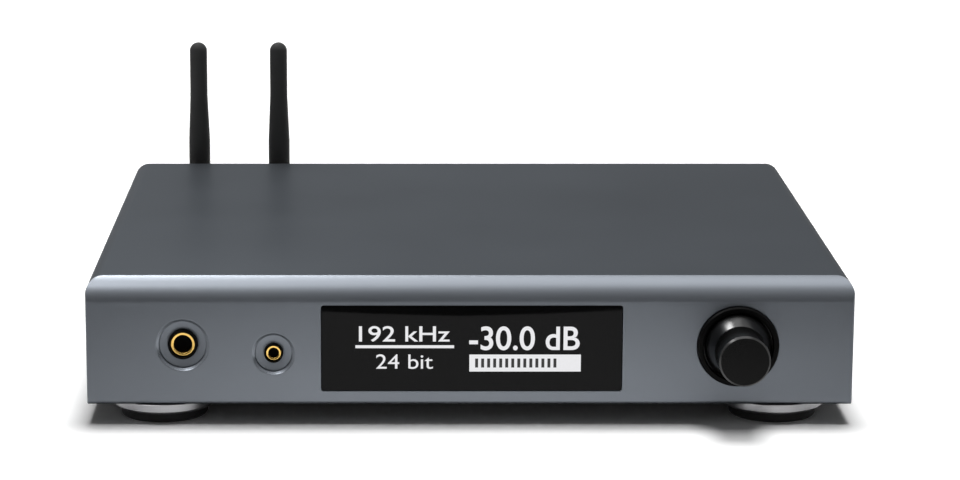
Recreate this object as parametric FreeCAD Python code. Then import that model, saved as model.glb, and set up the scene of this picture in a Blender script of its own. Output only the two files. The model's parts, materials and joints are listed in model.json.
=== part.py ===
import FreeCAD, Part
import math
import os

# A streaming amplifier with its case, controls, sockets and boards, in millimetres.
# X runs to the right seen from the front, Y from the front to the back, and Z up.
# The origin is on the surface under the feet, in the middle of the whole outline.
# Places inside the case are worked out from the sizes below.

Vector = FreeCAD.Vector

# Case
BODY_WIDTH = 280.0
BODY_HEIGHT = 47.2
BODY_DEPTH = 224.0
FOOT_LIFT = 7.4
TOP_CORNER_R = 6.0
LOWER_CORNER_R = 1.0
WALL = 2.0
SHEET_GAP = 0.2
LIP_WIDTH = 9.0
LIP_T = 1.6
LIP_SCREW_INSET = 36.0
BASE_T = 1.6
COVER_BACK_CHAMFER = 0.8
REAR_T = 1.6
REAR_INSET = 1.0
REAR_FLANGE = 9.0
REAR_SCREW_SPACING = 124.0
BEND_R = 1.2

# Front panel
PANEL_T = 6.6
NOSE_R = 10.0
PANEL_LOWER_R = 1.8
PANEL_SIDE_R = 1.0
TAB_WIDTH = 12.0
TAB_HEIGHT = 12.0
TAB_CHAMFER = 2.0
TAB_SCREW_RISE = 7.0
TAB_SIDE = 16.0
INNER_TABS = (-87.0, 72.0)

# Display
WINDOW_X = 0.75
WINDOW_RISE = 21.3
WINDOW_WIDTH = 110.0
WINDOW_HEIGHT = 32.2
WINDOW_CORNER_R = 1.0
WINDOW_INSET = 0.5
WINDOW_FLANGE = 2.5
WINDOW_FLANGE_T = 1.4
WINDOW_WALL = 2.6
MODULE_INSET = 2.0
MODULE_T = 4.6
MODULE_LEG = 4.0

# Headphone sockets
LARGE_X = -104.7
LARGE_RISE = 22.5
LARGE_DISH_R = 8.5
LARGE_NOSE_R = 5.45
LARGE_RING_R = 4.7
LARGE_HOLE_R = 3.25
LARGE_BODY_WIDTH = 16.0
LARGE_BODY_HALF_HEIGHT = 7.9
LARGE_BODY_DEPTH = 34.0
LARGE_RING_DEPTH = 12.0
SMALL_X = -71.6
SMALL_RISE = 19.2
SMALL_DISH_R = 6.6
SMALL_NOSE_R = 3.45
SMALL_RING_R = 3.05
SMALL_HOLE_R = 1.8
SMALL_BODY_WIDTH = 12.0
SMALL_BODY_HALF_HEIGHT = 5.0
SMALL_BODY_DEPTH = 26.0
SMALL_RING_DEPTH = 10.0
DISH_DEPTH = 2.2
NOSE_INSET = 0.4
RING_INSET = 1.6
CONTACT_ROOM = 0.3
HOUSING_WALL = 1.5

# Volume control
KNOB_X = 97.8
KNOB_RISE = 22.2
KNOB_REACH = 23.0
SKIRT_R = 12.3
SKIRT_RIM = 1.8
SKIRT_MIDDLE = (9.9, 6.6)
GRIP_R = 9.3
GRIP_LENGTH = 12.0
GRIP_CHAMFER = 0.7
KNOB_HOLLOW_R = 8.2
PRESS_TRAVEL = 0.5
PRESS_GAP = 0.15
BUSH_CLEAR = 1.0
COLLAR_R = 14.85
COLLAR_OUT = 2.0
COLLAR_SEAT = 1.0
COLLAR_GAP = 0.35
KNOB_WALL = 3.0
BUSH_R = 4.5
BUSH_OUT = 4.0
NUT_ACROSS = 12.0
NUT_T = 2.0
SHAFT_R = 3.0
SHAFT_FLAT = 1.5
SHAFT_OUT = 16.0
INSERT_R = 6.0
INSERT_END_WALL = 1.2
ENCODER_WIDTH = 14.0
ENCODER_HEIGHT = 13.0
ROTOR_R = 4.6
ROTOR_T = 1.4
CHAMBER_R = 5.2
CHAMBER_WALL = 1.4
ENCODER_CLEAR = 0.2
PLUNGER_R = 2.0

# Feet
FOOT_SIDE = 27.0
FOOT_INSET = 18.0
FOOT_R = 19.0
FOOT_T = 3.4
PAD_R = 16.0
FOOT_SCREW_ENTRY = 2.4

# Screws
M3_R = 1.5
M3_HEAD_T = 1.9
M3_ACROSS = 5.5
M4_R = 2.0
M4_ACROSS = 7.0
M4_HEAD_T = 2.8
SCREW_END = 0.3
CASE_SCREW_REACH = 4.0
CASE_HEAD_T = 1.2
PANEL_SCREW_REACH = 4.0

# Boards and what carries them
BOARD_T = 1.6
STANDOFF = 5.0
STANDOFF_ACROSS = 5.5
FRONT_BOARD_INSET = 13.0
FRONT_BOARD_X = (-64.0, 112.0)
FRONT_BOARD_RISE = (6.6, 43.2)
MAIN_BOARD_SIDE = 10.0
MAIN_BOARD_DEPTH = 104.0
MAIN_BOARD_BACK = 1.5
POWER_BOARD_SIDE = 12.0
POWER_BOARD_WIDTH = 84.0
BOARD_SPACE = 10.0
POWER_BOARD_FRONT = 46.0
POWER_BOARD_DEPTH = 144.0
JACK_BOARD_X = (-123.0, -65.0)
JACK_BOARD_FRONT = 2.0
JACK_BOARD_DEPTH = 36.0
POST_INSET = 4.0
FIXING_INSETS = {
    "main": ((4.0, 4.0), (4.0, 36.0)),
    "power": ((4.0, 4.0), (4.0, 4.0)),
    "jack": ((4.0, 22.0), (18.0, 4.0)),
}

# Rear sockets, each with its middle in from the wall beside it and above the bottom of the case
INLET_SIDE = 20.0
INLET_RISE = 23.9
INLET_FLANGE = (30.6, 24.0, 2.4)
INLET_BODY = (27.4, 20.0)
INLET_CAVITY = (24.6, 17.0, 15.5)
INLET_DEPTH = 17.5
INLET_CORNER = 4.0
FLANGE_CORNER = 1.2
BLADE_SPACING = 7.0
BLADE_LIFT = 4.0
BLADE_SECTION = (2.0, 4.0)
BLADE_INSET = 3.0
BLADE_TAIL = 7.0
SWITCH_SIDE = 47.5
SWITCH_RISE = 23.9
SWITCH_FLANGE = (15.0, 21.6, 1.8)
SWITCH_BODY = (13.4, 19.6)
SWITCH_DEPTH = 13.0
SWITCH_CAVITY_DEPTH = 9.0
ROCKER_WIDTH = 11.4
ROCKER_HALF_HEIGHT = 8.0
ROCKER_TILT = 10.0
ROCKER_END_RISE = 4.5
ROCKER_MIDDLE_RISE = 3.0
ROCKER_KEEL = 4.0
ROCKER_GAP = 0.2
TRUNNION_R = 1.0
POST_SIDES = (86.0, 66.95)
POST_RISE = (13.6, 32.65)
POST_REACH = 22.0
POST_BLOCK_EDGE = 8.2
POST_BLOCK_T = 3.4
POST_BLOCK_STEP = 2.5
POST_BLOCK_DEPTH = 5.0
STUD_R = 3.0
STUD_TAIL = 9.0
STUD_INSET = 1.0
PLUG_R = 2.05
PLUG_DEPTH = 12.0
CAP_ACROSS = 12.2
CAP_CHAMFER = 0.8
LINE_SIDE = 120.0
LINE_RISE = (14.2, 31.6)
LINE_SHELL_R = 4.15
LINE_SHELL_WALL = 0.5
LINE_REACH = 8.5
LINE_PIN_R = 1.7
LINE_PIN_DEPTH = 9.0
LINE_INSET = 0.6
LINE_BODY_WIDTH = 12.0
LINE_BODY_DEPTH = 14.0
NETWORK_SIDE = 42.1
NETWORK_SIZE = (16.0, 13.5, 21.3)
NETWORK_MOUTH = (11.8, 8.2, 14.0)
NETWORK_LATCH = (6.0, 2.0)
NETWORK_SILL = 2.2
USB_SIDE = 81.0
USB_SIZE = (14.4, 7.2, 14.0)
USB_MOUTH = (12.6, 5.3, 9.0)
USB_TONGUE = (11.2, 1.9, 7.8)
USB_TONGUE_DROP = 0.4
OPTICAL_SIDE = 98.0
OPTICAL_SIZE = (10.0, 10.0, 13.5)
OPTICAL_MOUTH = (8.0, 8.0, 7.5)
OPTICAL_CORNER = 1.5
SOCKET_PROUD = 0.3

# Aerials
AERIAL_SIDES = (25.1, 60.0)
AERIAL_RISE = 25.6
AERIAL_AXIS_BEHIND = 12.0
AERIAL_TOP_RISE = 98.6
AERIAL_R = 4.6
AERIAL_TIP_R = 3.75
TAPER_START = 55.2
TAPER_END = 74.3
TIP_STEPS = 3
SMA_R = 3.1
SMA_REACH = 5.7
SMA_FLANGE_ACROSS = 7.6
SMA_FLANGE_T = 1.8
SMA_TAIL = 4.0
COUPLING_ACROSS = 8.6
SPIGOT_DEPTH = 1.8
ELBOW_GAP = 0.2
ELBOW_WALL = 1.2
TONGUE_T = 4.0
TONGUE_GAP = 0.2
TONGUE_R = 3.5
BOSS_R = 1.5
BOSS_REACH = 1.2
CHEEK_CLEAR = 0.35

# Inside
CHIP_SIZE = (14.0, 10.0, 4.0)
HEATSINK_WIDTH = 28.0
HEATSINK_LENGTH = 96.0
HEATSINK_BASE_T = 3.4
HEATSINK_HEIGHT = 25.0
FIN_T = 1.6
FIN_COUNT = 6
CORE_SIZE = (34.0, 36.0, 26.0)
CORE_LEG = 7.0
CORE_YOKE = 7.0
WINDING_GAP = 0.3
CAPACITOR_R = 8.0
CAPACITOR_HEIGHT = 28.0
CAPACITOR_PITCH = 20.0
CAPACITOR_COUNT = 3
SHIELD_SIZE = (44.0, 34.0, 4.2)
SHIELD_INSET = 12.0
HEADER_SIZE = (30.0, 6.0, 6.0)
RIBBON_WIDTH = 25.0
RIBBON_T = 0.8
RIBBON_LEVEL = 12.0

# Vents in the base plate
SLOT_LENGTH = 24.0
SLOT_WIDTH = 3.0
SLOT_PITCH = 8.0
SLOT_COUNT = 7
MAIN_VENTS = 96.0
POWER_VENTS = (82.0, 118.0)

# Sides of the polygons that stand for round holes and rods where these repeat or are hidden
SCREW_SIDES = 8
FINE_SIDES = 12
ROUND_SIDES = 16
ROD_SIDES = 24
TURNING = math.cos(math.pi / FINE_SIDES)

# Clearances
FIT = 0.1
RUNNING = 0.05
SNUG = 0.03
INTO = 1.0
BEYOND = 2.0

# Levels worked out from the sizes
M3_HOLE = 2 * (M3_R + RUNNING)
M4_HOLE = 2 * (M4_R + RUNNING)
REACH = KNOB_REACH + BODY_DEPTH + POST_REACH
FRONT = KNOB_REACH - REACH / 2
BACK = FRONT + BODY_DEPTH
HALF = BODY_WIDTH / 2
BOTTOM = FOOT_LIFT
TOP = BOTTOM + BODY_HEIGHT
PANEL_BACK = FRONT + PANEL_T
NOSE_Z = TOP - math.sqrt(NOSE_R ** 2 - (NOSE_R - PANEL_T) ** 2)
BASE_TOP = BOTTOM + BASE_T
REAR_OUT = BACK - REAR_INSET
REAR_IN = REAR_OUT - REAR_T
INNER_HALF = HALF - WALL
SEATED_HALF = INNER_HALF - SHEET_GAP
TAB_PLACES = (TAB_SIDE - INNER_HALF,) + INNER_TABS + (INNER_HALF - TAB_SIDE,)
FOOT_X = HALF - FOOT_SIDE
POWER_BOARD_RIGHT = INNER_HALF - POWER_BOARD_SIDE
POWER_BOARD_X = (POWER_BOARD_RIGHT - POWER_BOARD_WIDTH, POWER_BOARD_RIGHT)
MAIN_BOARD_X = (MAIN_BOARD_SIDE - INNER_HALF, POWER_BOARD_X[0] - BOARD_SPACE)
INLET_X = INNER_HALF - INLET_SIDE
SWITCH_X = INNER_HALF - SWITCH_SIDE
POST_X = (INNER_HALF - POST_SIDES[0], INNER_HALF - POST_SIDES[1])
LINE_X = INNER_HALF - LINE_SIDE
NETWORK_X = NETWORK_SIDE - INNER_HALF
USB_X = USB_SIDE - INNER_HALF
OPTICAL_X = OPTICAL_SIDE - INNER_HALF
AERIAL_X = (AERIAL_SIDES[0] - INNER_HALF, AERIAL_SIDES[1] - INNER_HALF)
BOARD_Z = BASE_TOP + STANDOFF
BOARD_TOP = BOARD_Z + BOARD_T
FRONT_BOARD_Y = FRONT + FRONT_BOARD_INSET
WINDOW_Z = BOTTOM + WINDOW_RISE
LARGE_Z = BOTTOM + LARGE_RISE
SMALL_Z = BOTTOM + SMALL_RISE
JACK_BOARD_TOP = LARGE_Z - LARGE_BODY_HALF_HEIGHT
KNOB_Z = BOTTOM + KNOB_RISE
SEAT_Y = FRONT + COLLAR_SEAT
ENCODER_FRONT = SEAT_Y + KNOB_WALL
AERIAL_Y = BACK + AERIAL_AXIS_BEHIND
AERIAL_Z = BOTTOM + AERIAL_RISE


# Shapes used by several pieces

def around(middle, size):
    """The two ends of a length centred on middle."""
    return (middle - size / 2, middle + size / 2)


def block(x, y, z):
    """A box between two ends along each axis."""
    corner = Vector(x[0], y[0], z[0])
    return Part.makeBox(x[1] - x[0], y[1] - y[0], z[1] - z[0], corner)


def edges_along(shape, axis):
    """The straight edges of a shape that run along one axis."""
    index = "XYZ".index(axis)
    found = []
    for edge in shape.Edges:
        if isinstance(edge.Curve, Part.Line) and abs(edge.Curve.Direction[index]) > 0.999:
            found.append(edge)
    return found


def rounded_block(x, y, z, radius, axis):
    """A box whose four edges along one axis are rounded."""
    solid = block(x, y, z)
    return solid.makeFillet(radius, edges_along(solid, axis))


def rod_y(x, z, y, radius):
    """A cylinder along Y between two ends."""
    return Part.makeCylinder(radius, y[1] - y[0], Vector(x, y[0], z), Vector(0, 1, 0))


def rod_z(x, y, z, radius):
    """A cylinder along Z between two ends."""
    return Part.makeCylinder(radius, z[1] - z[0], Vector(x, y, z[0]), Vector(0, 0, 1))


def rod_x(x, y, z, radius):
    """A cylinder along X between two ends."""
    return Part.makeCylinder(radius, x[1] - x[0], Vector(x[0], y, z), Vector(1, 0, 0))


def prism(base, axis, across, length, sides):
    """A bar with flat sides, from its base point along an axis."""
    radius = across / 2 / math.cos(math.pi / sides)
    first = Vector(0, 0, 1).cross(axis)
    side = first if first.Length > 0.5 else Vector(1, 0, 0)
    points = []
    for turn in range(sides + 1):
        rotation = FreeCAD.Rotation(axis, 360 * (turn + 0.5) / sides)
        points.append(base + rotation.multVec(side * radius))
    return Part.Face(Part.makePolygon(points)).extrude(axis * length)


def prism_x(x, y, z, across, sides):
    """A bar with flat sides along X between two ends."""
    return prism(Vector(x[0], y, z), Vector(1, 0, 0), across, x[1] - x[0], sides)


def prism_y(x, z, y, across, sides):
    """A bar with flat sides along Y between two ends."""
    return prism(Vector(x, y[0], z), Vector(0, 1, 0), across, y[1] - y[0], sides)


def prism_z(x, y, z, across, sides):
    """A bar with flat sides along Z between two ends."""
    return prism(Vector(x, y, z[0]), Vector(0, 0, 1), across, z[1] - z[0], sides)


def face_of(place, start, steps):
    """A face inside a closed outline. A step is an end point, or a point on an arc and its end."""
    edges = []
    here = start
    for step in steps + [start]:
        if isinstance(step[0], tuple):
            via, end = step
            edges.append(Part.Arc(place(here), place(via), place(end)).toShape())
        else:
            end = step
            if (place(here) - place(end)).Length > 1e-6:
                edges.append(Part.LineSegment(place(here), place(end)).toShape())
        here = end
    return Part.Face(Part.Wire(edges))


def middle_of_arc(centre, start, end):
    """The point halfway along the shorter arc from start to end about a centre."""
    ax, ay = start[0] - centre[0], start[1] - centre[1]
    bx, by = end[0] - centre[0], end[1] - centre[1]
    radius = math.hypot(ax, ay)
    length = math.hypot(ax + bx, ay + by)
    return (centre[0] + (ax + bx) * radius / length, centre[1] + (ay + by) * radius / length)


def turned_y(x, z, start, steps):
    """A solid turned about an axis along Y, from an outline of (radius, y) points."""
    face = face_of(lambda p: Vector(x + p[0], p[1], z), start, steps)
    return face.revolve(Vector(x, 0, z), Vector(0, 1, 0), 360)


def tapered_rod(x, y, rows):
    """An upright rod with flat sides through rows of (radius, z) points, the last one on its axis."""
    turns = [2 * math.pi * (turn + 0.5) / ROD_SIDES for turn in range(ROD_SIDES)]
    loops = []
    for radius, z in rows[:-1]:
        loops.append([Vector(x + radius * math.cos(turn), y + radius * math.sin(turn), z) for turn in turns])
    faces = [Part.Face(Part.makePolygon(loops[0] + loops[0][:1]))]
    for low, high in zip(loops, loops[1:]):
        for side in range(ROD_SIDES):
            corners = [low[side - 1], low[side], high[side], high[side - 1], low[side - 1]]
            faces.append(Part.Face(Part.makePolygon(corners)))
    tip = Vector(x, y, rows[-1][1])
    for side in range(ROD_SIDES):
        corners = [loops[-1][side - 1], loops[-1][side], tip, loops[-1][side - 1]]
        faces.append(Part.Face(Part.makePolygon(corners)))
    return Part.Solid(Part.Shell(faces))


def ring_y(x, z, y, outer, inner):
    """A plain ring along Y."""
    over = (y[0] - BEYOND, y[1] + BEYOND)
    return rod_y(x, z, y, outer).cut(rod_y(x, z, over, inner))


def group(solids):
    """Separate solids kept as one sub-part."""
    return Part.makeCompound(solids)


# Case

def case_outline(y, inset, top_r, lower_r):
    """A solid with the outline of the case seen from the front, drawn in by an inset."""
    half = HALF - inset
    low = BOTTOM + inset
    high = TOP - inset
    k = math.sqrt(0.5)

    def corner(side, z, radius, up):
        centre = (side * (half - radius), z - up * radius)
        return (centre[0] + side * radius * k, centre[1] + up * radius * k)

    face = face_of(
        lambda p: Vector(p[0], y[0], p[1]),
        (-half, low + lower_r),
        [
            (-half, high - top_r),
            (corner(-1, high, top_r, 1), (-half + top_r, high)),
            (half - top_r, high),
            (corner(1, high, top_r, 1), (half, high - top_r)),
            (half, low + lower_r),
            (corner(1, low, lower_r, -1), (half - lower_r, low)),
            (-half + lower_r, low),
            (corner(-1, low, lower_r, -1), (-half, low + lower_r)),
        ],
    )
    return face.extrude(Vector(0, y[1] - y[0], 0))


def panel_side_view():
    """The front panel's side view across the whole width, with the nose that rounds its top edge."""
    nose_centre = (FRONT + NOSE_R, NOSE_Z)
    lower_centre = (FRONT + PANEL_LOWER_R, BOTTOM + PANEL_LOWER_R)
    nose_start = (FRONT, NOSE_Z)
    nose_end = (PANEL_BACK, TOP)
    lower_start = (FRONT + PANEL_LOWER_R, BOTTOM)
    lower_end = (FRONT, BOTTOM + PANEL_LOWER_R)
    face = face_of(
        lambda p: Vector(-HALF - BEYOND, p[0], p[1]),
        nose_start,
        [
            (middle_of_arc(nose_centre, nose_start, nose_end), nose_end),
            (PANEL_BACK, BOTTOM),
            lower_start,
            (middle_of_arc(lower_centre, lower_start, lower_end), lower_end),
        ],
    )
    return face.extrude(Vector(BODY_WIDTH + 2 * BEYOND, 0, 0))


def panel_plan():
    """The front panel seen from above, with its two front corners eased."""
    solid = block((-HALF, HALF), (FRONT, PANEL_BACK), (BOTTOM - BEYOND, TOP + BEYOND))
    front = [e for e in edges_along(solid, "Z") if e.CenterOfMass.y < FRONT + PANEL_T / 2]
    return solid.makeFillet(PANEL_SIDE_R, front)


def jack_recess(x, z, dish_r, nose_r):
    """The cut for a headphone socket: shallow dish and the hole for the nose."""
    hole_r = nose_r + FIT
    start = FRONT - BEYOND
    end = PANEL_BACK + BEYOND
    steps = [(dish_r, start), (dish_r, FRONT), (hole_r, FRONT + DISH_DEPTH), (hole_r, end), (0, end)]
    return turned_y(x, z, (0, start), steps)


def window_opening():
    """The panel's opening for the display window, with the wider seat behind it."""
    x = around(WINDOW_X, WINDOW_WIDTH)
    z = around(WINDOW_Z, WINDOW_HEIGHT)
    y = (FRONT - BEYOND, PANEL_BACK + BEYOND)
    opening = rounded_block(x, y, z, WINDOW_CORNER_R, "Y")
    wide = 2 * (WINDOW_FLANGE + FIT)
    seat_x = around(WINDOW_X, WINDOW_WIDTH + wide)
    seat_z = around(WINDOW_Z, WINDOW_HEIGHT + wide)
    seat_y = (FRONT + WINDOW_WALL, PANEL_BACK + BEYOND)
    return opening.fuse(block(seat_x, seat_y, seat_z))


def tab_screw_place(x):
    """The axis of a screw that holds the front panel to the base plate, as (x, z)."""
    return (x, BOTTOM + TAB_SCREW_RISE)


def front_panel():
    outline = case_outline((FRONT, PANEL_BACK), 0, TOP_CORNER_R, LOWER_CORNER_R)
    panel = outline.common(panel_side_view()).common(panel_plan())
    cuts = [
        window_opening(),
        jack_recess(LARGE_X, LARGE_Z, LARGE_DISH_R, LARGE_NOSE_R),
        jack_recess(SMALL_X, SMALL_Z, SMALL_DISH_R, SMALL_NOSE_R),
        rod_y(KNOB_X, KNOB_Z, (FRONT - BEYOND, SEAT_Y), COLLAR_R + RUNNING),
        rod_y(KNOB_X, KNOB_Z, (FRONT - BEYOND, PANEL_BACK + BEYOND), BUSH_R + FIT),
        block(
            around(KNOB_X, ENCODER_WIDTH + 2 * ENCODER_CLEAR),
            (ENCODER_FRONT, PANEL_BACK + BEYOND),
            around(KNOB_Z, ENCODER_HEIGHT + 2 * ENCODER_CLEAR),
        ),
    ]
    for x in TAB_PLACES:
        screw_x, screw_z = tab_screw_place(x)
        span = (PANEL_BACK - PANEL_SCREW_REACH - SCREW_END, PANEL_BACK + BEYOND)
        cuts.append(prism_y(screw_x, screw_z, span, M3_HOLE, SCREW_SIDES))
    return panel.cut(group(cuts))


def lip_screw_places():
    """The upright screws through the base plate into the cover's lips, as (x, y)."""
    x = INNER_HALF - LIP_WIDTH / 2
    rows = (PANEL_BACK + LIP_SCREW_INSET, REAR_IN - LIP_SCREW_INSET)
    return [(side * x, y) for side in (-1, 1) for y in rows]


def rear_screw_places():
    """The upright screws through the base plate into the rear panel's flange, as (x, y)."""
    y = REAR_IN - REAR_FLANGE / 2
    return [(x, y) for x in around(0, REAR_SCREW_SPACING)]


def top_cover():
    span = (PANEL_BACK, BACK)
    outside = case_outline(span, 0, TOP_CORNER_R, LOWER_CORNER_R)
    back_edges = []
    for edge in outside.Edges:
        if edge.BoundBox.YMin > BACK - 0.01 and edge.BoundBox.ZMax > BOTTOM + 2 * LOWER_CORNER_R:
            back_edges.append(edge)
    outside = outside.makeChamfer(COVER_BACK_CHAMFER, back_edges)
    long = (PANEL_BACK - BEYOND, BACK + BEYOND)
    inside = case_outline(long, WALL, TOP_CORNER_R - WALL, LOWER_CORNER_R)
    open_base = block((-INNER_HALF, INNER_HALF), long, (BOTTOM - BEYOND, BOTTOM + WALL + LOWER_CORNER_R))
    cover = outside.cut(inside).cut(open_base)
    for side in (-1, 1):
        x = sorted((side * (INNER_HALF + WALL / 2), side * (INNER_HALF - LIP_WIDTH)))
        cover = cover.fuse(block(x, (PANEL_BACK, REAR_IN), (BASE_TOP, BASE_TOP + LIP_T)))
    over = (BASE_TOP - BEYOND, BASE_TOP + LIP_T + BEYOND)
    holes = [prism_z(x, y, over, M3_HOLE, SCREW_SIDES) for x, y in lip_screw_places()]
    return cover.cut(group(holes)).removeSplitter()


def vent_slots(x, y):
    """A row of vent slots side by side along X, with its middle at x, y."""
    slots = []
    for number in range(SLOT_COUNT):
        middle = x + (number - (SLOT_COUNT - 1) / 2) * SLOT_PITCH
        ends = around(middle, SLOT_WIDTH)
        slots.append(block(ends, around(y, SLOT_LENGTH), (BOTTOM - BEYOND, BASE_TOP + BEYOND)))
    return slots


def foot_places():
    """The middles of the four feet, as (x, y)."""
    return [(x, y) for x in (-FOOT_X, FOOT_X) for y in (FRONT + FOOT_INSET, BACK - FOOT_INSET)]


def base_plate():
    plate = block((-SEATED_HALF, SEATED_HALF), (PANEL_BACK, REAR_IN), (BOTTOM, BASE_TOP))
    for x in TAB_PLACES:
        tab = block(around(x, TAB_WIDTH), (PANEL_BACK, PANEL_BACK + BASE_T), (BOTTOM, BOTTOM + TAB_HEIGHT))
        tops = [e for e in edges_along(tab, "Y") if e.CenterOfMass.z > BOTTOM + TAB_HEIGHT / 2]
        plate = plate.fuse(tab.makeChamfer(TAB_CHAMFER, tops))
    over = (BOTTOM - BEYOND, BASE_TOP + BEYOND)
    cuts = [prism_z(x, y, over, M3_HOLE, SCREW_SIDES) for x, y in lip_screw_places() + rear_screw_places()]
    cuts += [prism_z(x, y, over, M4_HOLE, SCREW_SIDES) for x, y in foot_places()]
    for x in TAB_PLACES:
        screw_x, screw_z = tab_screw_place(x)
        span = (PANEL_BACK - BEYOND, PANEL_BACK + BASE_T + BEYOND)
        cuts.append(prism_y(screw_x, screw_z, span, M3_HOLE, SCREW_SIDES))
    main_x = sum(MAIN_BOARD_X) / 2
    power_x = sum(POWER_BOARD_X) / 2
    cuts += vent_slots(main_x, FRONT + MAIN_VENTS)
    for row in POWER_VENTS:
        cuts += vent_slots(power_x, FRONT + row)
    return plate.cut(group(cuts)).removeSplitter()


def rear_cut(x, z, width, height, gap):
    """A square-cornered opening through the rear panel."""
    over = (REAR_IN - BEYOND, REAR_OUT + BEYOND)
    return block(around(x, width + 2 * gap), over, around(z, height + 2 * gap))


def rear_panel():
    lower = BOTTOM
    upper = TOP - WALL - SHEET_GAP
    sheet = block((-SEATED_HALF, SEATED_HALF), (REAR_IN, REAR_OUT), (lower, upper))
    tops = [e for e in edges_along(sheet, "Y") if e.CenterOfMass.z > upper - INTO]
    panel = sheet.makeFillet(TOP_CORNER_R - WALL, tops)
    half = INNER_HALF - LIP_WIDTH - TOP_CORNER_R
    flange_y = (REAR_IN - REAR_FLANGE, REAR_OUT)
    for low, high in ((BASE_TOP, BASE_TOP + REAR_T), (upper - REAR_T, upper)):
        panel = panel.fuse(block((-half, half), flange_y, (low, high)))
    panel = panel.removeSplitter()
    bends = []
    for edge in edges_along(panel, "X"):
        place = edge.CenterOfMass
        inner_corner = abs(place.y - REAR_IN) < 0.01
        if inner_corner and (abs(place.z - BASE_TOP - REAR_T) < 0.01 or abs(place.z - upper + REAR_T) < 0.01):
            bends.append(edge)
    panel = panel.makeFillet(BEND_R, bends)
    over = (REAR_IN - BEYOND, REAR_OUT + BEYOND)
    cuts = [
        rear_cut(INLET_X, BOTTOM + INLET_RISE, INLET_BODY[0], INLET_BODY[1], FIT),
        rear_cut(SWITCH_X, BOTTOM + SWITCH_RISE, SWITCH_BODY[0], SWITCH_BODY[1], FIT),
        rear_cut(NETWORK_X, BOARD_TOP + NETWORK_SIZE[1] / 2, NETWORK_SIZE[0], NETWORK_SIZE[1], FIT),
        rear_cut(USB_X, BOARD_TOP + USB_SIZE[1] / 2, USB_SIZE[0], USB_SIZE[1], FIT),
        rear_cut(OPTICAL_X, BOARD_TOP + OPTICAL_SIZE[1] / 2, OPTICAL_SIZE[0], OPTICAL_SIZE[1], FIT),
    ]
    x, z = post_block_ends(POST_BLOCK_EDGE - POST_BLOCK_STEP + FIT)
    cuts.append(block(x, over, z))
    cuts += [prism_y(x, z, over, 2 * (LINE_SHELL_R + FIT), ROUND_SIDES) for x, z in line_places()]
    cuts += [prism_y(x, AERIAL_Z, over, 2 * (SMA_R + FIT), SCREW_SIDES) for x in AERIAL_X]
    over = (BASE_TOP - BEYOND, BASE_TOP + REAR_T + BEYOND)
    cuts += [prism_z(x, y, over, M3_HOLE, SCREW_SIDES) for x, y in rear_screw_places()]
    return panel.cut(group(cuts))


# Feet

def foot(x, y):
    """A turned metal disc, drilled from above for the screw that holds it."""
    disc = rod_z(x, y, (BOTTOM - FOOT_T, BOTTOM), FOOT_R)
    return disc.cut(prism_z(x, y, (BOTTOM - FOOT_SCREW_ENTRY, BOTTOM + BEYOND), M4_HOLE, SCREW_SIDES))


def foot_pad(x, y):
    return prism_z(x, y, (0, BOTTOM - FOOT_T), 2 * PAD_R, ROD_SIDES)


def foot_screw(x, y):
    """A screw down through the base plate into a foot."""
    shank = prism_z(x, y, (BOTTOM - FOOT_SCREW_ENTRY + SCREW_END, BASE_TOP), 2 * M4_R, SCREW_SIDES)
    return shank.fuse(prism_z(x, y, (BASE_TOP, BASE_TOP + M4_HEAD_T), M4_ACROSS, 6))


# Screws of the case

def case_screw(x, y):
    """A screw up through the base plate into the lip or the flange above it."""
    shank = prism_z(x, y, (BOTTOM, BASE_TOP + CASE_SCREW_REACH), 2 * M3_R, SCREW_SIDES)
    return shank.fuse(prism_z(x, y, (BOTTOM - CASE_HEAD_T, BOTTOM), M3_ACROSS, 6))


def panel_screw(x, z):
    """A screw forwards through a tab of the base plate into the front panel."""
    head = PANEL_BACK + BASE_T
    shank = prism_y(x, z, (PANEL_BACK - PANEL_SCREW_REACH, head), 2 * M3_R, SCREW_SIDES)
    return shank.fuse(prism_y(x, z, (head, head + M3_HEAD_T), M3_ACROSS, 6))


# Display

def display_window():
    x = around(WINDOW_X, WINDOW_WIDTH - 2 * FIT)
    z = around(WINDOW_Z, WINDOW_HEIGHT - 2 * FIT)
    seat = FRONT + WINDOW_WALL
    plug = rounded_block(x, (FRONT + WINDOW_INSET, seat + WINDOW_FLANGE_T), z, WINDOW_CORNER_R - FIT, "Y")
    wide_x = around(WINDOW_X, WINDOW_WIDTH + 2 * WINDOW_FLANGE)
    wide_z = around(WINDOW_Z, WINDOW_HEIGHT + 2 * WINDOW_FLANGE)
    flange = block(wide_x, (seat, seat + WINDOW_FLANGE_T), wide_z)
    return plug.fuse(flange).removeSplitter()


def display_module():
    """The display's frame, on four legs that stand on the front board."""
    front = FRONT + WINDOW_WALL + WINDOW_FLANGE_T
    width = WINDOW_WIDTH - 2 * MODULE_INSET
    height = WINDOW_HEIGHT - MODULE_INSET
    module = block(around(WINDOW_X, width), (front, front + MODULE_T), around(WINDOW_Z, height))
    for x in around(WINDOW_X, width - MODULE_LEG):
        for z in around(WINDOW_Z, height - MODULE_LEG):
            module = module.fuse(block(around(x, MODULE_LEG), (front, FRONT_BOARD_Y), around(z, MODULE_LEG)))
    return module.removeSplitter()


# Headphone sockets

def jack_ring(x, z, ring_r, hole_r, depth):
    """The gilt sleeve at the mouth of a headphone socket."""
    mouth = FRONT + RING_INSET
    return ring_y(x, z, (mouth, mouth + depth), ring_r, hole_r)


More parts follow.
